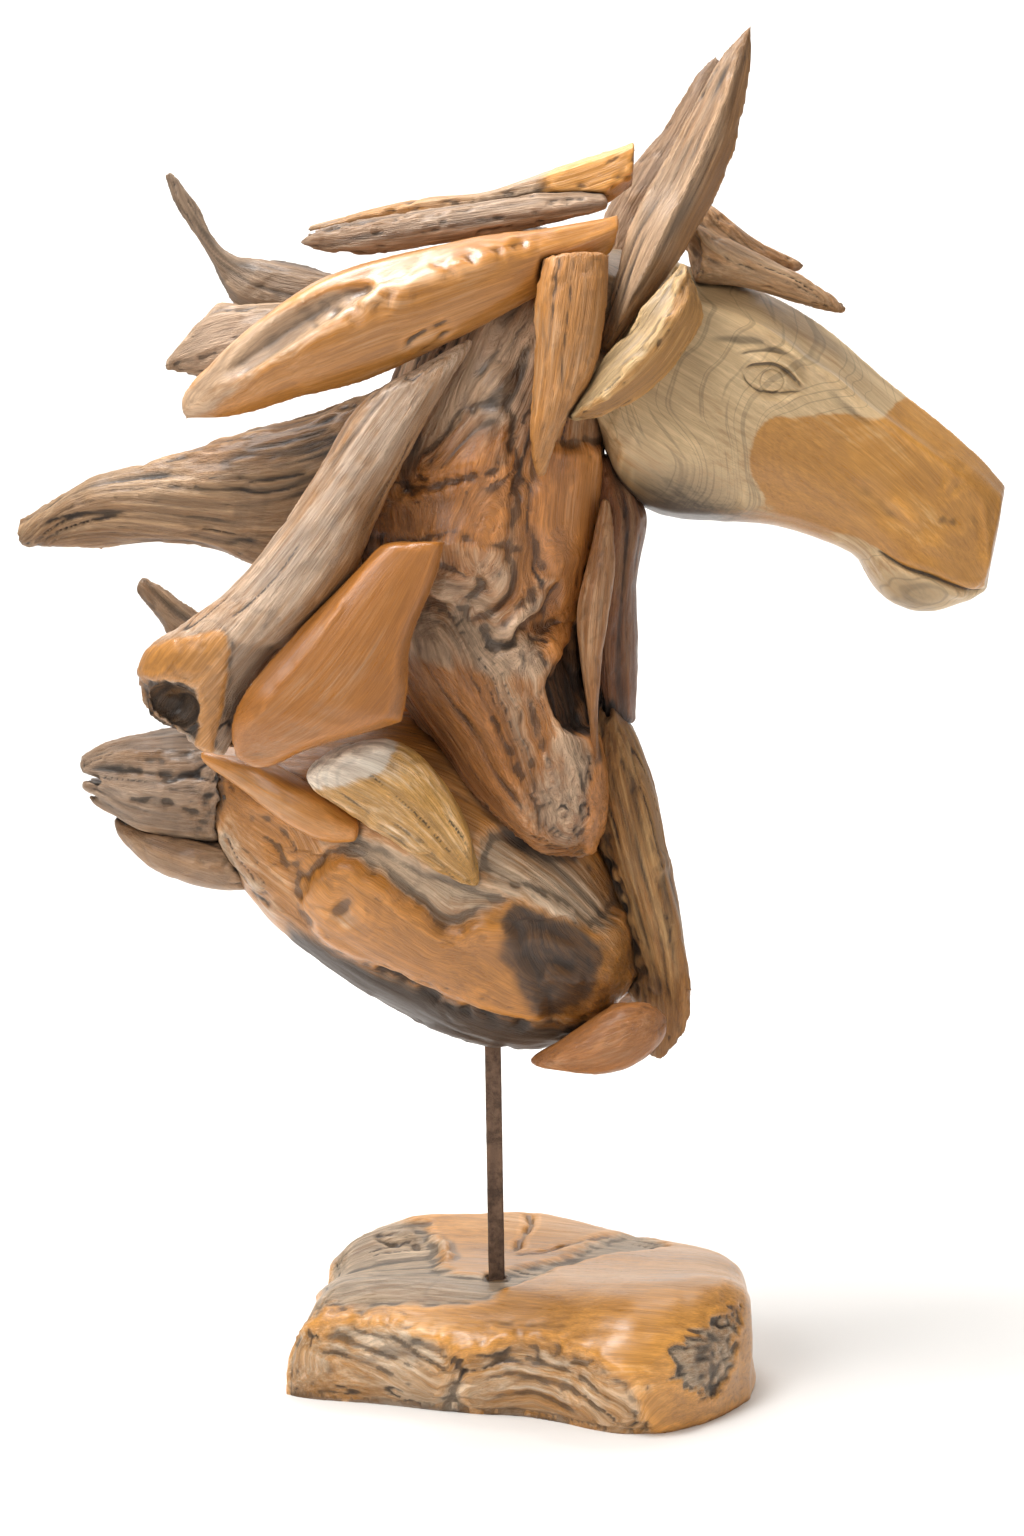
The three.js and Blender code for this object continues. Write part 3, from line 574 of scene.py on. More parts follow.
def wood_material(name, wood):
    """Oiled and weathered wood, spread by what the carving left with each vertex."""
    n = Nodes(name + "_wood")
    grain = n.attribute("grain", "Vector")
    ring, worn, dark, relief, rough, hollow = map(n.attribute,
                                                  ("ring", "worn", "dark", "relief", "rough", "hollow"))
    along = n.add("ShaderNodeSeparateXYZ", {0: grain}).outputs[0]

    def across_rings(per_metre, along_metre):
        return n.add("ShaderNodeCombineXYZ", {0: n.math("MULTIPLY", ring, per_metre),
                                              1: n.math("MULTIPLY", along, along_metre)}).outputs[0]

    bands = n.remap(n.noise(across_rings(75, 3), detail=2), 0.3, 0.7)
    fibres = n.remap(n.noise(n.scaled(grain, (8, 300, 300)), detail=5, roughness=0.7), 0.3, 0.7)
    threads = n.remap(n.noise(n.scaled(grain, (26, 1300, 1300)), detail=2), 0.3, 0.7)
    clouds = n.remap(n.noise(n.scaled(grain, (8, 17, 17)), detail=3), 0.32, 0.68)
    pores = n.remap(n.noise(n.scaled(grain, (110, 1500, 1500)), detail=1), 0.66, 0.78)
    contour = n.math("ABSOLUTE", n.math("SUBTRACT", n.noise(across_rings(1000 / wood.ring, 7), detail=1.5),
                                        0.5))
    growth = n.remap(contour, 0.035, 0.0)

    # Oiled wood: one warm colour, in faint bands that follow the rings, with fine fibres.
    figure = n.weighed((bands, 0.25), (fibres, 0.45), (clouds, 0.3))
    light = shade(wood.oiled, 1 + 0.3 * wood.contrast, -0.01)
    deep = shade(wood.oiled, 1 - 0.42 * wood.contrast, 0.04)
    oiled = n.mix(figure, linear(deep), linear(light))
    # Weathered wood: silvery fibres over brown ones.
    pale, dull = shade(wood.grey, 1 + 0.3 * wood.contrast), shade(wood.grey, 1 - 0.45 * wood.contrast, 0.05)
    silver = n.mix(n.weighed((fibres, 0.6), (threads, 0.15), (clouds, 0.25)), linear(dull), linear(pale))
    # How weathered it is: what was carved, broken up along the fibres.
    patchy = n.math("ADD", worn, n.weighed((fibres, 0.4), (clouds, 0.5), (bands, 0.2)))
    patchy = n.math("SUBTRACT", patchy, 0.55)
    colour = n.mix(n.remap(patchy, 0.1, 0.9), oiled, silver)
    # Growth lines, strand crests rubbed pale and lightened further as a painted highlight, strand grooves
    # darkened by dirt and painted shade, and pores.
    lined = n.math("MULTIPLY", growth, n.remap(patchy, 0.1, 0.9, 0.15 * wood.figure, wood.figure))
    colour = n.tinted(colour, lined, 0.62)
    colour = n.tinted(colour, n.remap(relief, 0.5, 0.78), 1.3)
    colour = n.tinted(colour, n.remap(relief, 0.47, 0.1), 0.34)
    # Ridges are lighter, as rubbed wear and painted highlight, and hollows are darker, as painted shade.
    colour = n.tinted(colour, n.remap(hollow, 0.44, 0.2), 1.22)
    colour = n.tinted(colour, n.remap(hollow, 0.56, 0.9), 0.45)
    colour = n.tinted(colour, n.math("MULTIPLY", pores, 0.5), 0.6)
    colour = n.tinted(colour, threads, 0.8)
    # The dark attribute darkens the wood toward a deep brown. It holds real stains, cracks and knots, and
    # also painted shade in joints, creases, gaps and undersides.
    stain_and_shade = n.math("ADD", dark, n.math("MULTIPLY", n.math("SUBTRACT", fibres, 0.5), 0.25))
    colour = n.mix(n.remap(stain_and_shade, 0.1, 0.95, 0.0, 0.94), colour, linear(shade(wood.oiled, 0.2, 0.12)))

    gloss = n.weighed((n.remap(patchy, 0.1, 0.9), 0.16), (dark, 0.2), (fibres, 0.1), (threads, 0.05))
    roughness = n.math("ADD", gloss, wood.roughness - 0.05)
    height = n.weighed((fibres, 1.0), (threads, 0.35), (pores, -0.4))
    height = n.math("MULTIPLY", height, n.remap(rough, 0.0, 0.8, wood.bump, 2.4))
    bump = n.add("ShaderNodeBump", {"Height": height, "Strength": 0.8, "Distance": 0.0008})

    shader = n.shader.inputs
    n.tree.links.new(colour, shader["Base Color"])
    n.tree.links.new(roughness, shader["Roughness"])
    n.tree.links.new(bump.outputs[0], shader["Normal"])
    shader["IOR"].default_value = 1.5
    shader["Coat Weight"].default_value = wood.coat
    shader["Coat Roughness"].default_value = 0.3
    return n.material


def steel_material():
    """Square bar left to rust to a fine brown bloom."""
    n = Nodes("rusted_steel")
    place = n.add("ShaderNodeTexCoord").outputs["Object"]
    mottled = n.remap(n.noise(place, 90, 6, 0.65), 0.35, 0.65)
    grains = n.remap(n.noise(place, 900, 3, 0.6), 0.35, 0.7)
    run = n.remap(n.noise(n.scaled(place, (160, 160, 12)), 1, 3), 0.4, 0.75)
    colour = n.mix(mottled, linear((74, 60, 52)), linear((122, 92, 70)))
    colour = n.mix(n.math("MULTIPLY", grains, 0.5), colour, linear((138, 112, 92)))
    colour = n.mix(n.math("MULTIPLY", run, 0.45), colour, linear((62, 48, 42)))
    height = n.math("ADD", n.math("MULTIPLY", grains, 0.5), n.math("MULTIPLY", mottled, 0.8))
    bump = n.add("ShaderNodeBump", {"Height": height, "Strength": 0.45, "Distance": 0.0008})
    shader = n.shader.inputs
    n.tree.links.new(colour, shader["Base Color"])
    n.tree.links.new(n.remap(grains, 0, 1, 0.5, 0.78), shader["Roughness"])
    n.tree.links.new(n.remap(mottled, 0, 1, 0.75, 0.25), shader["Metallic"])
    n.tree.links.new(bump.outputs[0], shader["Normal"])
    return n.material


# ---------------- details

def carve_head(c):
    """Brow, eye, cheek, mouth and nostril, alike on both sides."""
    # The heart of the tree shows as an orange flame along the face, and the rings run parallel to its edge.
    heart = curve([(190, 658), (180, 692), (186, 716), (204, 727), (240, 726), (272, 724), (300, 738),
        (352, 700), (372, 640), (345, 598), (298, 613), (262, 634), (216, 648), (190, 658)])
    flat = c.drawn
    distance, _, _ = from_line(flat, heart)
    depth = np.where(inside_outline(flat, heart), distance, -distance)
    depth += 4 * fractal(c.grain / (90, 30, 30), 2, 4)
    cheek = np.hypot(flat[:, 0] - 142, 1.3 * (flat[:, 1] - 690))
    c.swirl = 60 - depth + 30 * np.exp(-(cheek / 40) ** 2)
    c.worn = 1.3 - 1.6 * smoothstep(-3, 6, depth)
    jaw = smoothstep(668, 650, flat[:, 1]) * smoothstep(262, 225, flat[:, 0])
    c.worn -= 0.9 * jaw
    c.dark += 0.25 * jaw
    # Painted shade: the underside at the back of the jaw is darkened.
    under = 1 - smoothstep(6, 62, np.hypot(0.6 * (flat[:, 0] - 112), flat[:, 1] - 652))
    c.dark += 0.85 * under

    def line(points, width, **change):
        c.line(points, width, side=BOTH, **change)

    def spot(centre, radius, **change):
        c.spot(centre, radius, side=BOTH, **change)

    # Plane changes of the face: edge of the nose, brow, hollows under the eye and the cheek.
    line([(150, 796), (196, 777), (216, 762), (238, 748), (263, 727), (294, 706), (318, 689), (346, 670)],
        4, lift=2.6)
    line([(344, 670), (348, 648), (351, 622), (351, 602)], 4, lift=2)
    line([(140, 778), (166, 777), (192, 773), (212, 763)], 5, lift=-2.6, dark=0.12)
    line([(204, 752), (222, 744), (246, 728), (272, 712)], 9, lift=-1.8)
    spot((246, 706), 20, lift=-2.5, squash=0.5, turn=-35)
    spot((146, 700), 34, lift=4)
    spot((196, 672), 20, lift=-2.5, squash=0.7, turn=-20)
    line([(258, 682), (264, 668), (278, 656), (290, 646)], 12, lift=-1.6)
    line([(276, 668), (292, 656), (302, 640)], 7, lift=2.4)
    spot((316, 632), 14, lift=3, squash=0.6, turn=-25)
    line([(314, 654), (322, 648), (332, 650)], 5, lift=-1.6)
    # Socket, eyeball and lids.
    spot((196, 748), 23, lift=-4.6, squash=0.62, power=3)
    c.settle(2)
    spot((195, 748), 13, lift=4.4, squash=0.74, power=3)
    line([(168, 758), (182, 762.5), (196, 763), (207, 758), (215, 748), (226, 738)], 2.8, lift=3.6)
    line([(172, 750), (178, 742), (188, 734), (202, 733), (212, 736), (224, 737)], 2.6, lift=2.4)
    c.settle()
    # The lid lines and the iris are fine grooves, darkened as painted shade, most heavily along the upper
    # lid.
    line([(172, 756), (182, 759), (195, 759.5), (205, 754.5), (212, 747), (218, 741)], 1.3, lift=-2.2,
        dark=0.6, ends=0.15)
    line([(172, 756), (177, 747), (186, 740.5), (199, 739), (209, 740.5), (218, 741)], 1.1, lift=-1.6,
        dark=0.42, ends=0.15)
    line([(166, 765), (180, 769), (198, 769), (212, 761), (222, 750)], 1.8, lift=-1.6, dark=0.22, ends=0.15)
    line([(203, 747.5), (200.5, 754), (194, 757), (187.5, 754), (185, 747.5), (187.5, 741.5), (194, 739),
        (200.5, 741.5), (203, 747.5)], 0.9, lift=-0.9, dark=0.3, ends=0)
    line([(187, 747), (201, 748)], 0.7, lift=-0.5, dark=0.25, ends=0)
    # Mouth, with a full lower lip behind it. The mouth groove is darkened as painted shade, a pale line on
    # the lower lip is a painted highlight, and the chin below it is darkened as painted shade.
    mouth = [(270, 629), (281, 621), (294, 614.5), (311, 609), (328, 602), (343, 597), (356, 598)]
    line([(x, z + 6) for x, z in mouth[1:]], 5, lift=2.4)
    line([(x, z - 5) for x, z in mouth[1:]], 3.5, lift=2.0)
    line(mouth, 1.5, lift=-3.2, dark=0.6, ends=0.1)
    spot((300, 588), 34, dark=0.45)
    line([(x, z - 3) for x, z in mouth[1:5]], 1.4, worn=1.0)


def carve_root(c):
    """A root with a broken boss, from which a smooth limb runs down to the chest."""
    limb = [(-128, 400), (-110, 410), (-94, 406), (-68, 386), (-54, 372), (-42, 362), (-29, 360), (-14,
        367), (6, 368), (16, 345), (30, 318), (34, 292), (-8, 302), (-41, 313), (-73, 327), (-100, 337),
        (-124, 350), (-138, 376)]
    c.area(limb, 6, lift=7, worn=-0.3, rough=-0.3)
    channel = [(-112, 432), (-84, 424), (-50, 408), (-12, 396), (6, 384), (-14, 372), (-29, 364), (-42,
        366), (-54, 377), (-70, 391), (-92, 410), (-108, 416)]
    c.area(channel, 6, lift=-5, worn=0.55, rough=0.15)
    bowl = [(-14, 404), (-4, 430), (40, 424), (74, 398), (90, 372), (72, 358), (44, 377), (14, 391)]
    c.area(bowl, 6, lift=-7, worn=0.35, rough=0.55)
    c.line([(-14, 402), (14, 390), (44, 376), (72, 357)], 4, lift=4.5, worn=0.8)
    walnut = [(-2, 372), (24, 380), (68, 356), (76, 334), (63, 302), (34, 294), (14, 320), (4, 346)]
    c.area(walnut, 6, lift=-1.5, dark=0.8, worn=-0.3, ragged=3)
    c.line([(14, 350), (34, 356), (62, 340)], 5, lift=4)
    c.line([(26, 318), (44, 326), (66, 320)], 5, lift=4)
    c.line([(20, 336), (40, 340), (60, 330)], 4, lift=-4, dark=0.2)
    c.area([(72, 356), (88, 366), (103, 351), (98, 309), (66, 284)], 4, lift=3, rough=0.3, ragged=2)
    c.settle(1)

    c.comb(limb[1:9], 26)
    c.comb([(-124, 352), (-72, 328), (-8, 303), (34, 290)], 18)
    c.spot((-109, 376), 26, lift=3.5, swirl=40)
    c.spot((-107, 379), 10, lift=-6, dark=0.45, squash=0.8, turn=50, power=2)
    c.spot((-101, 370), 10, lift=-1.5, worn=0.6, squash=0.7, turn=-50)
    c.line([(-136, 378), (-134, 398), (-118, 416), (-96, 412)], 3.5, lift=-2.5, dark=0.3)
    c.line([(-116, 344), (-88, 330), (-55, 311), (-20, 297), (22, 288), (54, 281)], 6, lift=-6, dark=0.2)
    c.line([(-176, 446), (-158, 422), (-145, 398), (-139, 378), (-134, 352)], 7, lift=-6, dark=0.3)
    c.line([(-205, 440), (-190, 410), (-171, 383), (-152, 352)], 7, lift=4, worn=0.7, rough=0.4)
    # The underside is rough and weathered grey, and darkened with painted shade.
    c.area([(-150, 356), (-120, 340), (-73, 318), (-8, 296), (34, 288), (70, 276), (60, 240), (-60, 250),
        (-150, 310)], 10, worn=0.35, rough=0.5, dark=1.0)


def carve_trunk(c):
    """Rough plates and swirls at the top, and fibres that sweep down into the lobe above the chest."""
    c.comb([(30, 800), (2, 756), (-26, 716), (-48, 690)], 30)
    c.comb([(-80, 600), (-58, 552), (-21, 507), (20, 438), (40, 412)], 34)
    c.comb([(20, 580), (24, 540), (36, 500), (52, 440)], 20)
    c.comb([(-60, 596), (-30, 604), (2, 596), (10, 630), (12, 668)], 16)
    c.comb([(-12, 584), (2, 566), (20, 576), (34, 600), (42, 624)], 12)

    c.area([(-30, 722), (-4, 730), (8, 712), (6, 687), (-24, 680), (-52, 686)], 3, lift=5, rough=-0.2,
        worn=-0.2, ragged=4)
    c.area([(-84, 672), (-28, 679), (10, 688), (10, 654), (2, 636), (-24, 640), (-84, 640)], 4, lift=3,
        rough=-0.2, worn=-0.2, ragged=3)
    c.line([(-84, 678), (-50, 674), (-28, 681), (2, 688), (14, 690)], 3, lift=-7, dark=0.35)
    c.line([(4, 742), (8, 720), (10, 696), (16, 660), (14, 640)], 4, lift=-5, dark=0.2)
    c.spot((-1, 744), 10, lift=6, squash=1.5, worn=0.5)
    c.spot((3, 726), 8, lift=5, worn=0.5)
    c.area([(-56, 632), (-34, 640), (0, 632), (8, 612), (-2, 592), (-28, 588), (-44, 600)], 4, lift=6,
        worn=0.3)
    c.line([(-50, 624), (-28, 620), (-12, 610), (-18, 598), (-34, 600)], 3, lift=-4, dark=0.3)
    c.line([(-58, 590), (-36, 594), (-12, 589), (2, 592), (12, 612), (14, 646)], 4, lift=-6, dark=0.25)
    c.line([(-10, 588), (-4, 568), (6, 563), (18, 574), (30, 590)], 3.5, lift=-8, dark=0.45)
    c.line([(-2, 578), (8, 574), (22, 588), (32, 606), (40, 620)], 5, lift=7, worn=0.5)
    c.area([(-66, 590), (-8, 582), (24, 566), (32, 546), (-8, 548), (-66, 556)], 8, worn=0.7, rough=0.2)
    strip = [(28, 700), (74, 700), (75, 665), (68, 633), (60, 600), (56, 571), (44, 552), (34, 562), (40,
        595), (31, 633), (26, 654)]
    c.area(strip, 5, lift=6, worn=-0.6, rough=-0.8)
    c.area([(-100, 800), (30, 800), (24, 740), (-10, 700), (-60, 690), (-100, 690)], 14, worn=0.45,
        rough=0.3, ragged=4)
    cleft = [(58, 574), (66, 536), (70, 504), (54, 503), (42, 517), (36, 534), (46, 552)]
    c.area(cleft, 6, lift=-11, dark=0.7, rough=0.3)
    c.area([(53, 506), (64, 490), (62, 443), (48, 423), (34, 443), (31, 479), (42, 501)], 6, lift=2,
        worn=0.55, ragged=3)
    c.area([(60, 506), (76, 494), (80, 450), (75, 412), (64, 410), (62, 443), (66, 484)], 3, lift=4,
        worn=-0.6, rough=-0.6)
    c.line([(75, 690), (75, 654), (64, 621), (58, 588), (60, 560)], 2.5, lift=-5, dark=0.5)
    c.line([(-30, 560), (-4, 516), (22, 462), (40, 424)], 4, lift=-3)
    c.line([(6, 556), (16, 520), (34, 472), (46, 430)], 4, lift=3)


def carve_base(c):
    """A polished shoulder over a front worn into waves, and a grey valley along the top."""
    left = [(-160, 50), (-136, 54), (-91, 60), (-40, 53), (-26, 40), (-30, 18), (-36, -6), (-160, -6)]
    middle = [(-25, 42), (-6, 52), (22, 58), (55, 58), (88, 44), (102, 20), (100, -6), (-34, -6)]
    for outline in (left, middle):
        c.area(outline, 6, lift=-4, worn=0.35, rough=0.6, ragged=2)
    c.area([(126, 60), (150, 70), (174, 72), (176, 46), (162, 22), (143, 26), (128, 42)], 3, lift=-3,
        worn=0.8, rough=1.1, ragged=5)
    c.line([(-160, 54), (-124, 66), (-91, 62), (-29, 54), (19, 60), (55, 58), (99, 47), (139, 60)], 7,
        lift=3)
    for wave in ([(-134, 54), (-91, 43), (-43, 24)], [(-146, 44), (-98, 32), (-54, 14)],
                 [(-87, 58), (-58, 44), (-29, 28)],
                 [(-21, 37), (19, 48), (55, 40), (91, 18)], [(-18, 25), (19, 33), (55, 25), (84, 8)],
                 [(-14, 12), (26, 18), (62, 8)]):
        c.comb(wave, 16)
        c.line(wave, 2.6, lift=-2.2)
        c.line([(x, z + 6) for x, z in wave], 2.6, lift=1.6, worn=0.5)
    c.line([(-33, 46), (-27, 37), (-27, 24)], 4, lift=-5, dark=0.5)
    c.knot((106, 39), 6, 1.0, hole=0.8)
    c.line([(103, -4), (103, 30), (96, 46)], 3, lift=2)
    c.settle()
    c.look_from("above")
    valley = [(-126, 92), (-56, 101), (-42, 20), (-6, 6), (60, 48), (98, 78), (124, 67), (119, 44), (57,
        26), (4, -34), (-26, -46), (-150, -34), (-150, 20)]
    c.area(valley, 7, lift=-4, worn=0.9, rough=0.55, ragged=4)
    c.line([(-96, 84), (-66, 88), (-46, 78), (-38, 50), (-46, 8)], 4, lift=5, worn=0.4)
    c.line([(-98, 78), (-72, 78), (-52, 72)], 3.5, lift=-6, dark=0.6)
    c.line([(28, 130), (22, 92), (10, 56)], 3.5, lift=-5, dark=0.5)
    c.line([(4, 50), (40, 58), (97, 78)], 3, lift=-4, dark=0.45)
    c.look_from("side")


def carve_shield(c):
    """A sawn plank with one long bevel."""
    c.line([(-79, 634), (-115, 584), (-136, 557), (-164, 522), (-176, 503)], 2.4, lift=0.8)


def carve_sweep(c):
    """A foot sawn to an arch, with a rotted pocket under it."""
    c.area([(-256, 560), (-207, 576), (-184, 574), (-187, 535), (-200, 490), (-210, 490), (-208, 540),
        (-256, 543)], 2, lift=1.5, worn=-0.9, rough=-0.6)
    c.area([(-250, 541), (-210, 538), (-208, 500), (-232, 506), (-250, 522)], 3, lift=-4, dark=0.55,
        rough=1, ragged=3)
    c.area([(-182, 572), (-146, 562), (-172, 535), (-177, 492), (-200, 494), (-186, 535)], 4, lift=-2,
        dark=0.4)
    # A silvery band along the middle, painted pale as a sheen.
    c.line([(-60, 740), (-100, 690), (-130, 640), (-190, 585)], 12, worn=0.35)


def carve_blade(c):
    """A polished ridge along the blade, lightened a little as a painted highlight, a grey painted highlight
    over the tip and the scoop, and a lens-shaped split under it.
    """
    c.line([(-150, 770), (-113, 788), (-63, 811), (-12, 831), (30, 844), (72, 852)], 9, lift=3, worn=0.15)
    c.area([(-226, 722), (-214, 744), (-190, 768), (-150, 796), (-96, 812), (-84, 806), (-130, 776), (-180,
        742), (-200, 722)], 5, worn=0.55, ragged=2)
    c.line([(-66, 768), (-46, 782), (-28, 791)], 2.2, lift=-3, dark=0.7)
    c.line([(-62, 768), (-44, 772), (-28, 786)], 2.0, lift=-2.4, dark=0.55)
    c.comb([(-205, 736), (-150, 772), (-100, 800)], 22)


def carve_wedge(c):
    """Golden sapwood, with a polished top painted pale lilac-grey as a highlight, and saw marks along its
    lower edge.
    """
    c.area([(-134, 480), (-112, 496), (-74, 502), (-78, 486), (-104, 472), (-128, 466)], 4, worn=0.9,
        rough=-0.5)
    c.area([(-70, 500), (-38, 474), (-18, 430), (-40, 440), (-66, 470)], 5, lift=1.5, rough=0.5, ragged=3)
    c.line([(-118, 462), (-80, 440), (-40, 412), (-18, 398)], 9, lift=-2, rough=0.3)


def carve_cheek_piece(c):
    """A split with a pale, torn face on the left of its ridge and a tan one on the right."""
    ridge = [(131, 826), (121, 800), (108, 776), (88, 752), (54, 724)]
    c.area([(134, 840), *ridge, (100, 724), (150, 770)], 2, worn=-0.9, rough=-0.3)
    c.line(ridge, 3, lift=3.5, worn=0.4, ends=0.1)


def carve_ear(c):
    """Silvery and grooved behind its ridge, brown in front of it."""
    c.area([(176, 990), (168, 960), (156, 920), (136, 872), (112, 832), (84, 790), (60, 790), (90, 880),
        (140, 960)], 4, worn=0.35, rough=0.3, ragged=2)


def carve_upper_slat(c):
    """A sawn end, still orange."""
    c.area([(30, 860), (38, 896), (110, 922), (110, 868)], 5, worn=-0.6, rough=-0.5, ragged=2)


def carve_chest_board(c):
    """The inner edge has rotted out, next to the root, and its groove is darkened with painted shade for the
    gap between them.
    """
    c.line([(72, 430), (78, 408), (85, 385), (91, 362), (99, 340), (106, 318), (110, 296)], 7, lift=-5,
        dark=0.6, ends=0.1)
    c.knot((121, 405), 5, 1.5, hole=1)


def carve_gnarl(c):
    """Deep splits, and a blue-grey top."""
    c.area([(-250, 500), (-200, 500), (-180, 480), (-230, 476)], 6, worn=0.8, ragged=3)
    c.line([(-290, 462), (-262, 468), (-232, 462), (-200, 470)], 4, lift=-4, dark=0.45)
    c.line([(-284, 444), (-250, 446), (-220, 436), (-190, 440)], 4, lift=-4, dark=0.45)
    c.line([(-270, 478), (-240, 478), (-210, 484)], 4, lift=-3, dark=0.3)


# ---------------- pieces

@dataclass
class Wood:
    """How one piece is carved and finished. Lengths are in mm, and colours are sRGB, 0 to 255."""
    cell: float = 1.6  # size of the mesh's faces
    oiled: tuple = (180, 122, 66)
    grey: tuple = (160, 132, 104)
    worn: float = 0.3  # how much of it is left grey
    rough: float = 0.4  # how much of it is worn into strands
    gnarl: tuple = (1.5, 38)  # height and length of its swellings
    sharp: float = 0.5  # how much they meet in ridges
    strands: tuple = (6.0, 0.9)  # width of the strands and depth of the grooves between them
    cracks: float = 1.6  # depth of the drying cracks
    chips: float = 1.0  # depth of the bites out of its edges
    pith: tuple = (0.6, 2.4)  # where the tree's heart was, in half-widths from the piece's middle
    waviness: float = 8.0
    ring: float = 9.0  # from one dark growth line to the next
    figure: float = 0.5  # how dark those lines are
    contrast: float = 0.6
    roughness: float = 0.36
    coat: float = 0.25
    bump: float = 0.4
    unsteady: float = 2.6  # how far the edges of its marks wander
    rounding: float = 0.6
    smoothing: int = 8
    axis: tuple = ()
    refine: tuple = ()
    details: object = None


EYE, EYE_INNER, MOUTH = ((162, 727), (232, 772)), ((170, 733), (224, 766)), ((268, 592), (358, 634))
POLISHED = dict(rough=0.04, chips=0, cracks=0, rounding=0.8, smoothing=20, roughness=0.3, coat=0.4,
                bump=0.16)

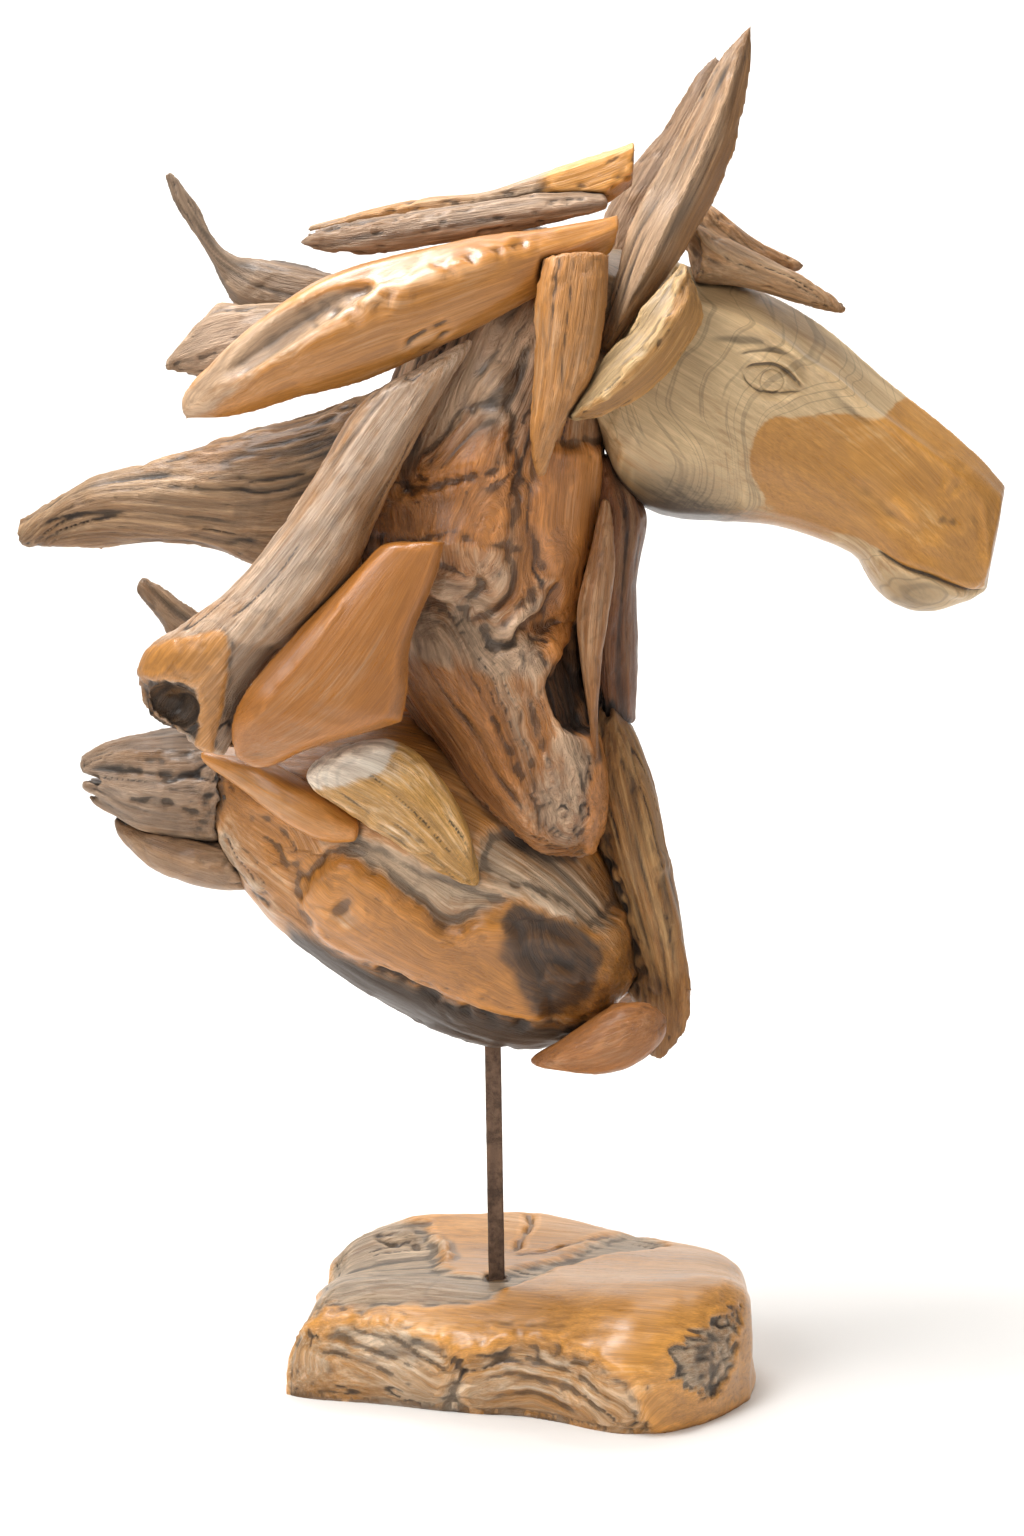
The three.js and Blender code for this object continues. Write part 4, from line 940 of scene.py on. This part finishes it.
PIECES = {
    "base_block": Wood(
        cell=2.4, oiled=(200, 140, 64), grey=(200, 176, 148), **POLISHED | dict(worn=0.05, cracks=1.4),
        gnarl=(1.6, 70), sharp=0.2, strands=(8, 1.5), pith=(0.2, 0.9), axis=(1, 0, 0), details=carve_base,
    ),
    "chest_root": Wood(
        cell=2.4, oiled=(182, 120, 48), grey=(196, 170, 142), worn=0.15, rough=0.25, gnarl=(2.2, 50),
        strands=(7, 1.3), rounding=0.8, coat=0.4, roughness=0.3, details=carve_root,
    ),
    "neck_trunk": Wood(
        cell=2.6, oiled=(182, 118, 58), grey=(188, 156, 126), worn=0.3, rough=0.7, gnarl=(3.2, 36),
        strands=(6.5, 2.0), cracks=2.2, axis=(0.1, 0, 1), coat=0.45, roughness=0.28, details=carve_trunk,
    ),
    "head": Wood(
        cell=2.1, oiled=(190, 134, 60), grey=(204, 176, 134), gnarl=(0.4, 60), ring=9, figure=0.8, sharp=0,
        contrast=0.4, unsteady=0, details=carve_head, refine=(EYE, EYE_INNER, MOUTH), **POLISHED,
    ),
    "throat_board": Wood(
        cell=2.7, oiled=(124, 74, 36), grey=(124, 94, 66), worn=0.2, rough=0.8, strands=(8, 1.8), cracks=3,
    ),
    "chest_board": Wood(
        cell=2.1, oiled=(158, 106, 50), grey=(162, 128, 84), worn=0.3, rough=0.8, strands=(5.5, 1.5),
        details=carve_chest_board,
    ),
    "splinter": Wood(cell=1.8, oiled=(148, 96, 48), worn=0.15, rough=0.5),
    "chest_wedge": Wood(cell=1.8, oiled=(156, 98, 44), worn=0.0, rough=0.3),
    "neck_stick": Wood(cell=2, oiled=(178, 120, 58), worn=0.1, rough=0.35, coat=0.35),
    "mane_blade": Wood(
        cell=2, oiled=(180, 120, 52), grey=(176, 146, 116), worn=0.1, gnarl=(0.5, 60), sharp=0.1,
        details=carve_blade, **POLISHED,
    ),
    "wing": Wood(cell=1.7, oiled=(188, 126, 58), worn=0.05, contrast=0.45, **POLISHED),
    # The golden wedge's pale grey shows mainly on its top, where it is painted on as a highlight.
    "golden_wedge": Wood(
        cell=2, oiled=(198, 146, 70), grey=(228, 204, 186), worn=0.1, rough=0.5, coat=0.35,
        details=carve_wedge,
    ),
    "near_ear": Wood(
        cell=1.8, oiled=(172, 122, 70), grey=(174, 142, 110), worn=0.3, rough=0.6, strands=(5, 1.2),
        details=carve_ear,
    ),
    "cheek_piece": Wood(
        cell=1.7, oiled=(174, 124, 62), grey=(198, 166, 118), worn=0.85, rough=0.6, chips=2, roughness=0.45,
        details=carve_cheek_piece,
    ),
    "forelock": Wood(
        cell=1.7, oiled=(188, 136, 84), grey=(196, 162, 126), worn=0.4, rough=0.8, chips=1.8,
        strands=(5, 1.2),
    ),
    "lower_slat": Wood(
        cell=1.8, oiled=(158, 118, 76), grey=(168, 142, 118), worn=0.65, rough=0.9, chips=2,
        strands=(5, 1.3),
    ),
    "upper_slat": Wood(
        cell=2, oiled=(206, 144, 66), grey=(180, 154, 128), worn=0.5, rough=0.7, chips=1.8,
        strands=(5.5, 1.2), details=carve_upper_slat,
    ),
    "long_shard": Wood(
        cell=2.2, oiled=(152, 110, 66), grey=(162, 132, 100), worn=0.5, rough=0.9, gnarl=(2.8, 40),
        sharp=0.9, strands=(6, 1.8), cracks=2.4, rounding=0.4, smoothing=4, roughness=0.42,
    ),
    "mane_sweep": Wood(
        cell=2, oiled=(168, 114, 52), grey=(184, 158, 134), worn=0.5, rough=0.45, gnarl=(1.6, 40),
        strands=(6, 1.0), coat=0.4, roughness=0.3, details=carve_sweep,
    ),
    "shield": Wood(
        cell=2.2, oiled=(164, 104, 42), worn=0, gnarl=(0.4, 60), contrast=0.35, details=carve_shield,
        **POLISHED,
    ),
    "top_spike": Wood(
        cell=1.8, oiled=(140, 110, 80), grey=(144, 120, 96), worn=0.75, rough=0.9, roughness=0.5,
    ),
    "grey_fan": Wood(
        cell=2, oiled=(166, 134, 98), grey=(178, 150, 124), worn=0.6, rough=1.0, strands=(5.5, 1.8),
        chips=2, roughness=0.5,
    ),
    "small_branch": Wood(cell=2, oiled=(146, 108, 70), grey=(146, 118, 90), worn=0.55, rough=0.8),
    "lower_gnarl": Wood(
        cell=2, oiled=(150, 112, 74), grey=(150, 126, 104), worn=0.5, rough=0.9, gnarl=(3.4, 26), sharp=0.8,
        strands=(6, 1.6), coat=0.35, details=carve_gnarl,
    ),
    "lower_crescent": Wood(
        cell=2.1, oiled=(146, 106, 68), grey=(146, 116, 86), worn=0.4, rough=0.35, gnarl=(0.9, 40),
    ),
    "far_ear": Wood(cell=2.4, oiled=(140, 102, 64), grey=(150, 122, 96), worn=0.5, rough=0.6),
    "far_neck_board": Wood(cell=3.7, strands=(9, 1.2)),
    "far_cheek_piece": Wood(cell=3, oiled=(172, 122, 64), grey=(200, 166, 116), worn=0.6),
    "far_mane_blade": Wood(cell=3.7, oiled=(190, 130, 62), strands=(9, 0.8), rough=0.2),
    "far_mane_sweep": Wood(cell=3.7, worn=0.6, strands=(9, 1.2)),
    "far_shield": Wood(cell=3.7, oiled=(178, 118, 54), worn=0.05, rough=0.1, strands=(9, 0.6)),
    "far_wedge": Wood(cell=3.7, oiled=(206, 156, 84), strands=(9, 1.2)),
    "far_chest_wedge": Wood(cell=3, oiled=(156, 98, 44)),
}

CAD = {name: welded(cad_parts[name]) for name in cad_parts}


def all_but(name):
    """The triangles of every other CAD piece, as points and faces."""
    points, faces, count = [], [], 0
    for other, (cad, triangles) in CAD.items():
        if other != name:
            points.append(cad)
            faces.append(triangles + count)
            count += len(cad)
    return np.vstack(points).tolist(), np.vstack(faces).tolist()


def carve(name, wood):
    """Carves one piece. The block keeps the flat underside that it stands on."""
    c = Carving(name, wood)
    c.swell()
    c.settle()
    if wood.details:
        wood.details(c)
        c.settle()
    c.weather()
    height = c.start[:, 2]
    if name == BLOCK:
        c.lift *= smoothstep(0, RAMP, height)
    c.settle()
    if name == BLOCK:
        c.points[:, 2] = np.where(height < FOOT, 0, np.maximum(c.points[:, 2], 0))
    c.finish(all_but(name))


def forge_bar():
    """The steel bar: softened edges and a faintly uneven, rusted skin."""
    mesh = remeshed(*CAD["support_bar"], 1.2)
    points = read(mesh.vertices, "co")
    points += (0.12 * fractal(points / (5, 5, 9), 2, 3))[:, None] * np.array([1, 1, 0])
    mesh.vertices.foreach_set("co", (points * MM).ravel())
    mesh.materials.clear()
    mesh.materials.append(steel_material())
    show(mesh, "rusted_bar", "support_bar")


# ---------------- studio

def studio():
    """A pale cove of paper, soft light from above and the left, a weak fill, and a lit backdrop."""
    turns = np.linspace(0, math.pi / 2, 12)
    bend = [(COVE_START + COVE_RADIUS * math.sin(a),
        COVE_RADIUS - COVE_RADIUS * math.cos(a)) for a in turns]
    bend.append((COVE_START + COVE_RADIUS, COVE_TOP))
    profile = [*((-y, z) for y, z in reversed(bend)), *bend]
    points = [(x, y, z) for y, z in profile for x in (-COVE_HALF_WIDTH, COVE_HALF_WIDTH)]
    faces = [(2 * i, 2 * i + 1, 2 * i + 3, 2 * i + 2) for i in range(len(profile) - 1)]
    mesh = bpy.data.meshes.new("floor")
    mesh.from_pydata(points, [], faces)
    mesh.polygons.foreach_set("use_smooth", np.ones(len(faces), bool))
    n = Nodes("paper")
    n.shader.inputs["Base Color"].default_value = linear(WHITE)
    n.shader.inputs["Roughness"].default_value = 0.8
    mesh.materials.append(n.material)
    floor = bpy.data.objects.new("floor", mesh)
    bpy.context.scene.collection.objects.link(floor)

    world = bpy.data.worlds.new("studio")
    world.use_nodes = True
    background = next(node for node in world.node_tree.nodes if node.type == "BACKGROUND")
    background.inputs["Color"].default_value = (1.0, 0.99, 0.97, 1)
    background.inputs["Strength"].default_value = 0.3
    bpy.context.scene.world = world

    middle = (0, 0, 0.5)
    for name, place, target, size, power in (
        ("key", (-1.5, -1.9, 2.0), middle, 1.2, 24),
        ("top", (-0.75, -0.3, 2.5), middle, 1.0, 72),
        ("fill", (2.0, -1.8, 1.0), middle, 1.6, 5),
        ("backdrop", (0, 1.8, 3.6), (0, 4.4, 1.2), 3.0, 170),
    ):
        light = bpy.data.lights.new(name, "AREA")
        light.size = size
        light.energy = power
        lamp = bpy.data.objects.new(name, light)
        lamp.location = place
        lamp.rotation_euler = (Vector(target) - lamp.location).to_track_quat("-Z", "Y").to_euler()
        bpy.context.scene.collection.objects.link(lamp)

    camera = bpy.data.cameras.new("camera")
    camera.lens = CAMERA_LENS
    camera.sensor_width = 36
    camera.clip_end = 50
    eye = bpy.data.objects.new("camera", camera)
    eye.location = CAMERA_PLACE
    eye.rotation_euler = (CAMERA_PITCH, 0, 0)
    bpy.context.scene.collection.objects.link(eye)
    bpy.context.scene.camera = eye
    bpy.context.scene.view_settings.view_transform = "Standard"


studio()
for piece_name, piece_wood in PIECES.items():
    carve(piece_name, piece_wood)
forge_bar()
